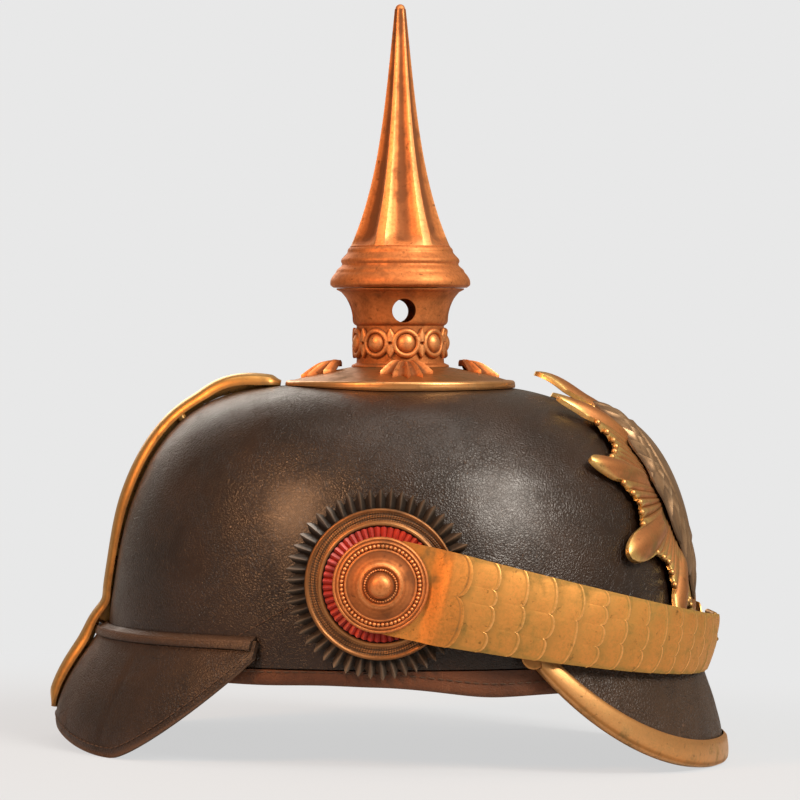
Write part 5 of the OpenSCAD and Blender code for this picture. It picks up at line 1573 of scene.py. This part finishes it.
@dataclass
class Cockade:
    """One side's pleated leather, engraved ring, pleated red centre and rosette."""

    side: Side
    wall: float = 92.0
    outer: float = 34.5
    metal: float = 27.2
    centre: float = 21.0
    outer_pleats: int = 50
    centre_pleats: int = 26
    boss: float = 17.2
    boss_height: float = 9.0
    ring_seat: float = 3.0  # under side of the ring, above the leather's
    ring_thick: float = 3.4
    plate: float = 1.0  # the chinscales' end plate, between the ring and the boss

    @property
    def body(self) -> str:
        """Name of the body that turns on this side's post."""
        return "cockade_" + self.side.word

    @property
    def leather_y(self) -> float:
        """Inner face of the leather ring."""
        return self.wall + 0.2

    def disc(
        self, bench: Bench, names: tuple[str, str, str], faces: Sequence[Array], flow: Array, finish: Finish,
        sharp: float,
    ) -> bpy.types.Object:
        """Makes one ring of the turning body.

        Args:
            bench: where pieces are made.
            names: ends of the names of the piece, its material slot and its CAD node.
            faces: the outer and the inner grid, in the side's own frame.
            flow: flow of the outer grid.
            finish: its finish.
            sharp: angle from which its edges stay sharp.

        Returns:
            The object.
        """
        piece, slot, node = names
        shells = Shells().sheet(*faces, flow, wrap=True).moved(self.side.beside)
        nodes = [f"{self.body}_{node}"]
        return bench.piece(f"{self.body}_{piece}", shells, self.body, "cockade_" + slot, finish, nodes, sharp)

    def pleats(
        self, count: int, radii: Array, low: float, high: float, notch: float
    ) -> tuple[Array, Array, Array]:
        """A pleated ring: the height over it is a triangle wave round the ring, deeper
        towards the outside, and every fold ends in a point.

        Args:
            count: number of pleats.
            radii: radius of each row.
            low: height of the folds at the inner row.
            high: height of the folds at the outer row.
            notch: depth of the notches between the points.

        Returns:
            Radius, angle and height of each point.
        """
        rr, tt = mesh_lines(radii, circle(count * 8))
        share = (rr - radii[0]) / (radii[-1] - radii[0])
        wave = 1 - np.abs(((tt * count / 360) % 1) * 2 - 1)
        r = rr - notch * (1 - wave) * ease((share - 0.75) / 0.25)
        return r, tt, (low + (high - low) * share) * wave

    def leather(self, bench: Bench) -> None:
        """The black ring of sharp pleats, some of them bent or short."""
        r, t, h = self.pleats(self.outer_pleats, np.linspace(3.0, self.outer, 26), 0.0, 2.1, 3.4)
        far = ease((r - self.metal + 1) / 7)
        turn = t * self.outer_pleats / 360
        t = t + 1.3 * np.sin(np.floor(turn + 0.5) * 12.9898 + 4.1) * far * (h > 0.15)
        r = r - 0.5 * np.abs(np.sin(np.floor(turn) * 7.13)) * far
        fade = ease((r - self.metal + 5) / 6)
        faces = polar(t, r, self.leather_y + 0.75 + h * fade), polar(t, r, self.leather_y + h * fade * 0.85)
        flow = xyz(r, t * 0.5, np.clip((h - 1.0) * fade, -0.8, 1))
        self.disc(bench, ("pleats", "leather", "leather"), faces, flow, Palette.BLACK, 30)

    def ring(self, bench: Bench) -> None:
        """The bronze ring, engraved with crossing spirals between two raised edges."""
        base, c, m = self.leather_y + self.ring_seat, self.centre, self.metal
        profile = np.concatenate([
            [[c, 0.2], [c, 1.2]],
            smooth_path([[c + 0.3, 1.45], [c + 0.9, 1.5], [c + 1.5, 1.1]], 3),
            np.stack([np.linspace(c + 1.7, m - 1.5, 16), np.full(16, 0.95)], 1),
            smooth_path([[m - 1.3, 1.05], [m - 0.7, 1.3], [m - 0.1, 0.85]], 3),
            [[m, 0.0]],
        ])
        rr, tt = mesh_lines(profile[:, 0], circle(720))
        zz = profile[:, 1:]
        flat = ease((rr - c - 1.6) / 0.4) * ease((m - 1.4 - rr) / 0.4)
        rough = waves(xyz(tt, rr * 3, 0), 40, 3, 2)
        twist = 0.12 * sind(tt * 90 + rr * 260 + 60 * rough) * sind(tt * 72 - rr * 210) + 0.05 * rough
        twist = twist - 0.2 * (hill(rr - 23.5, 0.25) + hill(rr - 25.1, 0.25))
        faces = polar(tt, rr, base + zz + twist * flat), polar(tt, rr, base)
        flow = xyz(rr, tt * 0.4, np.clip(twist * 6 * flat + (zz - 1.1) * 1.1, -0.8, 1))
        self.disc(bench, ("engraved", "bronze", "ring"), faces, flow, Palette.BRONZE, 50)

    def cloth(self, bench: Bench) -> None:
        """The red centre: soft pleats that run in under the rosette."""
        r, t, h = self.pleats(2 * self.centre_pleats, np.linspace(4.0, self.centre - GAP, 22), 0.05, 1.0, 0.3)
        h, base = h**0.8, self.leather_y + 2.6
        faces = polar(t, r, base + 0.65 + h), polar(t, r, base + h * 0.9)
        # The relief is low in the pleat valleys, where the cloth paints shade.
        flow = xyz(r, t * 0.35, np.clip((h - 0.5) * 1.3, -0.8, 0.8))
        made = self.disc(bench, ("red", "cloth", "cloth"), faces, flow, Palette.RED, 45)

    def rosette(self, bench: Bench) -> None:
        """The boss: a turned rim with a ring of beads, a dished band and a round knob."""
        base = self.leather_y + self.ring_seat + self.ring_thick + self.plate + GAP
        r, h = self.boss, self.boss_height
        profile = soft_profile([
            (0, 0), (r, 0), (r, 0.8), (r - 0.35, 1.4), (r - 0.8, 1.5), (r - 1.1, 1.25), (r - 1.4, 1.5),
            (r - 1.8, 1.9), (r - 2.2, 1.85), (r - 2.4, 1.5), (r - 4.1, 1.6), (r - 4.3, 2.2), (r - 4.7, 2.4),
            (r - 5.2, 2.3), (10.6, 2.7), (9.0, 3.5), (7.9, 4.5), (7.3, 4.95), (6.9, 5.0), (6.6, 4.8),
            (6.4, 4.4), (4.9, 4.4), (4.6, 5.0), (4.3, h - 2.6), (3.7, h - 1.3), (2.6, h - 0.4),
            (1.1, h), (0, h),
        ], [1, 2, 9, 10, 20, 21], 4)
        relief = np.gradient(np.gradient(profile[:, 1])) * -14
        shells = Shells().revolve(profile, 160, np.clip(relief, -0.7, 0.7))
        for radius, count, size, height in ((r - 3.25, 58, 0.72, 1.75), (5.65, 40, 0.44, 4.5)):
            t = circle(count)
            places = polar(t, radius, height)
            beads = placed(ball(size, 7, 10), places, polar(t + 90, 1.0, 0.0), np.array([0, 0, 1.0]))
            shells.copies(beads, 0.7)
        shells.moved(lambda p: self.side.beside(p + [0, 0, base]))
        name = "rosette_" + self.side.word
        bench.piece(name + "_boss", shells, "helmet", "brass", Palette.COPPER, [name], 45)

    def build(self, bench: Bench) -> None:
        """Makes this side's pieces."""
        self.leather(bench)
        self.ring(bench)
        self.cloth(bench)
        self.rosette(bench)


@dataclass
class ChinStrap:
    """The chinscales: overlapping lobed plates on leather, from rosette to rosette."""

    front: float = 126.5
    side: float = 100.0
    power: float = 2.15
    slope: float = 12.2
    wide: float = 34.0
    narrow: float = 21.0
    scales: int = 14
    sheet: float = 0.5
    bulge: float = 1.8
    leather: float = 1.0
    first: float = 76.0
    last: float = 4.0
    cover: float = 2.5
    lobe: float = 1.25
    rise: float = 1.2
    start: float = 80.0
    inset: float = 3.0
    plate_y: float = 98.6
    end_angles: tuple = (88, 85, 82.6, 81.5, 80.4, 79.3, 76.0)
    end_rise: float = 82.6  # where the end plate begins to rise
    bend: float = 115.0  # radius that turns degrees along the strap into millimetres
    end_bend: float = 105.0  # the same beside the end plate

    def share(self, a: Array) -> Array:
        """Sideways share of the oval at angle a from the front."""
        return np.sign(a) * (1 - np.abs(cosd(a)) ** self.power) ** (1 / self.power)

    def point(self, a: Array, w: Array, d: Array) -> Array:
        """Point at angle a, w up across the strap and d outside its middle."""
        flat = xyz((self.front + d) * cosd(a), (self.side + d) * self.share(a), w)
        return turned(flat, "Y", self.slope) + POST

    def width(self, a: Array) -> Array:
        """Width at angle a."""
        return self.narrow + (self.wide - self.narrow) * np.minimum(1, np.abs(a) / 80) ** 1.3

    def out(self, a: Array, w: Array, part: Array) -> Array:
        """Distance of a scale's inner face at share w of the width; part runs to its free end."""
        bulge = self.bulge * (0.55 + 0.45 * np.abs(a) / 80)
        return self.leather / 2 + GAP / 3 + self.rise * part + bulge * (1 - (2 * w - 1) ** 2)

    def edge_line(self, from_edge: Array) -> Array:
        """Relief beside a scale's free edge: a bright line, and behind it a dark line of painted shade."""
        return 0.9 * hill(from_edge - 0.3, 0.4) - 0.7 * hill(from_edge - 1.1, 0.35)

    def scallop(self, lobes: int, seed: int = 0) -> tuple[Array, Array]:
        """Places across the width and depth of the free edge: every lobe is a half circle
        pressed flat, of its own width and depth, sampled so that the notches are sharp."""
        rng = np.random.default_rng(seed)
        shares = 1 + rng.uniform(-0.3, 0.3, lobes)
        ends = np.concatenate([[0], np.cumsum(shares) / np.sum(shares)])
        tau = np.linspace(0, lobes, lobes * 12 + 1)
        k = np.floor(np.minimum(tau, lobes - 1e-9)).astype(int)
        part = tau - k
        w = ends[k] + (ends[k + 1] - ends[k]) * (1 - np.cos(np.pi * part)) / 2
        return w, np.sin(np.pi * part) * (1 - 0.45 * rng.uniform(0, 1, lobes)[k])

    def scale(self, shells: Shells, side: Side, a0: float, a1: float, lobes: int, seed: int) -> None:
        """One scale, from its covered end a0 to its free end a1: it bulges across, each lobe
        a little more, and a fine raised line follows its scalloped edge."""
        w, arc = self.scallop(lobes, seed=seed)
        rows = np.concatenate([np.linspace(0, 0.84, 9), [0.89, 0.93, 0.96, 0.985, 1.0]])
        rr, ww = mesh_lines(rows, w)
        tip = a1 + self.lobe * (1 - arc) + 0.5 * (2 * w - 1) ** 2
        a = a0 + (tip - a0) * rr
        part = (a0 - a) / (a0 - a1)
        from_edge = (a - tip) * math.radians(1) * self.bend
        lobe_wave = arc**0.8 * ease((rr - 0.2) / 0.5)
        rng = np.random.default_rng(seed)
        knock = 0.08 * waves(xyz(a * 2, ww * 20, 7.0 * seed), 9, 5, 2)
        tilt = rng.uniform(-0.12, 0.12) * (ww - 0.5)
        shaped = 0.08 * (lobe_wave - 0.6) + 0.12 * hill(from_edge - 0.45, 0.35) + knock + tilt
        shaped = shaped * ease(rr / 0.3)
        wide, seat = self.width(a) * (ww - 0.5), self.out(a, ww, part)
        outer = self.point(side.value * a, wide, seat + self.sheet + shaped)
        inner = self.point(side.value * a, wide, seat + 0.8 * np.minimum(shaped, 0.1))
        # This relief colours the scale: a bright line along the free edge with a dark line of painted shade
        # behind it, darker along both long sides, and painted shade that deepens towards the covered end,
        # under the next scale.
        ends = 0.6 * hill(np.minimum(ww, 1 - ww) * 30, 1.2)
        worn = self.edge_line(from_edge) - ends + 0.75 * (rr - 0.75)
        shells.sheet(outer, inner, xyz(a * 2.2, ww * 30, worn))

    def plates(self, side: Side, bench: Bench) -> None:
        """All scales of one side."""
        end = self.last if side is Side.RIGHT else 14.0
        pitch = (self.first - self.last) / self.scales
        shells = Shells()
        for k in range(1, int((self.first - end) / pitch + 0.5) + 1):
            self.scale(shells, side, self.first - pitch * (k - 1) + self.cover, self.first - pitch * k,
                       (2, 4, 3, 3)[k % 4], k + 40 * (side is Side.LEFT))
        node = "chinscales_" + side.word
        bench.piece(node + "_plates", shells, "chinscale_strap", "brass", Palette.SCALE, [node], 50)

    def backing(self, side: Side, bench: Bench) -> None:
        """The leather behind the scales, a flat strap with rounded edges."""
        end = -4.4 if side is Side.RIGHT else 5.2
        a = (self.start + (end - self.start) * np.linspace(0, 1, 120))[:, None]
        x, y = cosd(circle(16)), sind(circle(16))
        edge = np.sign(x) * np.abs(x) ** 0.25
        thick = np.sign(y) * np.abs(y) ** 0.8 * self.leather / 2
        wide = (self.width(a) / 2 - self.inset) * edge
        flow = xyz(a * 2, wide, 0.4 * np.abs(edge) ** 8)
        shells = Shells().tube(self.point(side.value * a, wide, thick), flow)
        node = "strap_leather_" + side.word
        bench.piece(node + "_strip", shells, "chinscale_strap", "strap_leather", Palette.STRAP, [node], 50)

    def end_plate(self, side: Side, bench: Bench) -> None:
        """The end plate: a round eye under the rosette that rises into a two-lobed scale."""
        w, arc = self.scallop(2)
        rr = np.linspace(0, 1, 61)[:, None]
        stops = np.arange(len(self.end_angles))
        notch = 1.5 * self.lobe * (1 - arc)
        a = np.interp(rr * stops[-1], stops, self.end_angles) + notch * ease((rr - 0.75) / 0.25)
        low = (self.plate_y + 0.1) / self.share(a) - self.side
        d = low + (self.out(a, w, 1.0) - low) * ease((self.end_rise - a) / 3.4)
        from_edge = (a - self.first - notch) * math.radians(1) * self.end_bend
        wide = self.width(a) * (w - 0.5)
        outer = self.point(side.value * a, wide, d + self.sheet + 0.2 + 0.08 * hill(from_edge - 0.45, 0.3))
        inner = self.point(side.value * a, wide, d)
        r = self.wide / 2
        eye = soft_profile([(0, 0), (r, 0), (r, 0.7), (r - 0.4, 1), (0, 1)], [1, 3])
        shells = Shells().revolve(eye, 96).moved(lambda p: side.beside(p + [0, 0, self.plate_y]))
        # The edge line paints a dark line of shade behind the free edge.
        shells.sheet(outer, inner, xyz(a * 2.2, w * 34, self.edge_line(from_edge)))
        node = "end_plate_" + side.word
        bench.piece(node + "_eye", shells, "chinscale_strap", "brass", Palette.EYE, [node], 50)

    def build(self, bench: Bench) -> None:
        """Makes both halves and dresses the buckle."""
        for side in Side:
            self.plates(side, bench)
            self.backing(side, bench)
            self.end_plate(side, bench)
        bench.dress(["buckle_frame", "buckle_prong"], Palette.BRASS)


# ---------------------------------------------------------------- studio
@dataclass(frozen=True)
class Lamp:
    """A soft rectangular lamp, placed in the helmet's frame in metres."""

    name: str
    place: tuple[float, float, float]
    size: tuple[float, float]
    power: float
    colour: Colour = (1.0, 0.96, 0.91)

    def build(self, aim: Vector) -> None:
        """Makes the lamp and turns it to a point."""
        data = bpy.data.lights.new(self.name, "AREA")
        data.shape = "RECTANGLE"
        data.size, data.size_y = self.size
        data.energy = self.power
        data.color = self.colour
        made = bpy.data.objects.new(self.name, data)
        made.location = self.place
        made.rotation_euler = (aim - Vector(self.place)).to_track_quat("-Z", "Y").to_euler()
        bpy.context.scene.collection.objects.link(made)


@dataclass(frozen=True)
class Studio:
    """Plain floor, pale surroundings, soft lamps and the camera."""

    background: Colour = (0.807, 0.807, 0.807)
    ambient: float = 0.31
    distance: float = 1500.0
    eye: float = 162.4
    centre: tuple[float, float] = (-0.1, 136.0)
    millimetres: float = 0.38  # on the middle plane, in one pixel
    image: int = 800  # pixels across the photograph
    warmth: Colour = (1.0, 0.86, 0.70)  # of the surroundings as a light
    floor_tone: Colour = (0.47, 0.50, 0.54)
    lamps: tuple = (
        Lamp("key_lamp", (0.80, -0.78, 0.92), (0.55, 0.55), 20.0, (1.0, 0.93, 0.83)),
        Lamp("warm_lamp", (-0.82, -0.95, 0.76), (0.34, 0.34), 13.0, (1.0, 0.50, 0.24)),
        Lamp("top_lamp", (0.15, -0.2, 1.2), (0.9, 0.9), 5.0, (1.0, 0.93, 0.84)),
        Lamp("rear_lamp", (-0.4, 1.0, 0.6), (0.6, 0.6), 3.0, (1.0, 0.93, 0.84)),
    )

    def floor(self) -> None:
        """The floor: it keeps the object's soft shadow and runs out into the background."""
        rings = polar(circle(96), np.array([[0.05], [0.6], [2.0], [6.0], [14.0]]), 0.0)
        faces = lattice_faces(5, 96, False, True)
        mesh = bpy.data.meshes.new("floor")
        mesh.from_pydata(rings.reshape(-1, 3).tolist(), [], faces.tolist() + [list(range(95, -1, -1))])
        mesh.update()
        made = bpy.data.objects.new("floor", mesh)
        bpy.context.scene.collection.objects.link(made)
        g = Graph(bpy.data.materials.new("floor paint"))
        lit = g.add("ShaderNodeBsdfDiffuse", values={"Color": self.floor_tone, "Roughness": 0.5})
        flat = g.add("ShaderNodeEmission", values={"Color": self.background, "Strength": 1.0})
        seen = g.add("ShaderNodeLightPath", output="Is Camera Ray")
        far = g.add("ShaderNodeVectorMath", {"operation": "LENGTH"}, {0: g.place()}, "Value")
        share = seen * (far.above(0.12, 0.42) * 0.25 + 0.75)
        g.end(g.add("ShaderNodeMixShader", values={0: share, 1: lit, 2: flat}))
        mesh.materials.append(g.owner)

    def world(self) -> None:
        """Pale grey to the camera; dimmer and warmer as a light."""
        g = Graph(bpy.data.worlds.new("studio_world"))
        bpy.context.scene.world = g.owner
        light = g.add("ShaderNodeBackground", values={"Color": self.warmth, "Strength": self.ambient})
        shown = g.add("ShaderNodeBackground", values={"Color": self.background})
        seen = g.add("ShaderNodeLightPath", output="Is Camera Ray")
        g.end(g.add("ShaderNodeMixShader", values={0: seen, 1: light, 2: shown}), "ShaderNodeOutputWorld")

    def camera(self) -> None:
        """The camera: level with the vents, square to the helmet's own upright."""
        data = bpy.data.cameras.new("camera")
        data.sensor_width = 36.0
        data.lens = data.sensor_width * self.distance / (self.image * self.millimetres)
        data.clip_start, data.clip_end = 0.1, 60.0
        made = bpy.data.objects.new("camera", data)
        bpy.context.scene.collection.objects.link(made)
        place = Vector((self.centre[0], -self.distance, self.eye))
        aim = Vector((self.centre[0], 0.0, self.centre[1]))
        pitch = math.atan2(place.z - aim.z, self.distance)
        turn = Matrix.Translation(place) @ Matrix.Rotation(math.radians(90) - pitch, 4, "X")
        whole = STANCE.matrix() @ turn
        made.matrix_world = Matrix.LocRotScale(whole.to_translation(), whole.to_quaternion(), None)
        bpy.context.scene.camera = made

    def build(self) -> None:
        """Sets up the studio."""
        self.camera()
        self.floor()
        self.world()
        aim = Vector((0.0, 0.0, 0.11))
        for lamp in self.lamps:
            lamp.build(aim)
        bpy.context.scene.view_settings.view_transform = "Standard"


def main() -> None:
    """Builds every sub-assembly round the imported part."""
    logging.basicConfig(level=logging.INFO, format="%(name)s: %(message)s")
    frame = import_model()
    Studio().build()
    bench = Bench(frame, Palette())
    parts = (Skull(), Inside(), Peaks(), Spine(), SpikeBase(), FrontPlate(),
             Cockade(Side.RIGHT), Cockade(Side.LEFT), ChinStrap())
    for part in parts:
        part.build(bench)
    bench.dress(["side_posts", "side_post_nuts"], Palette.FASTENER)


if __name__ == "__main__":
    main()
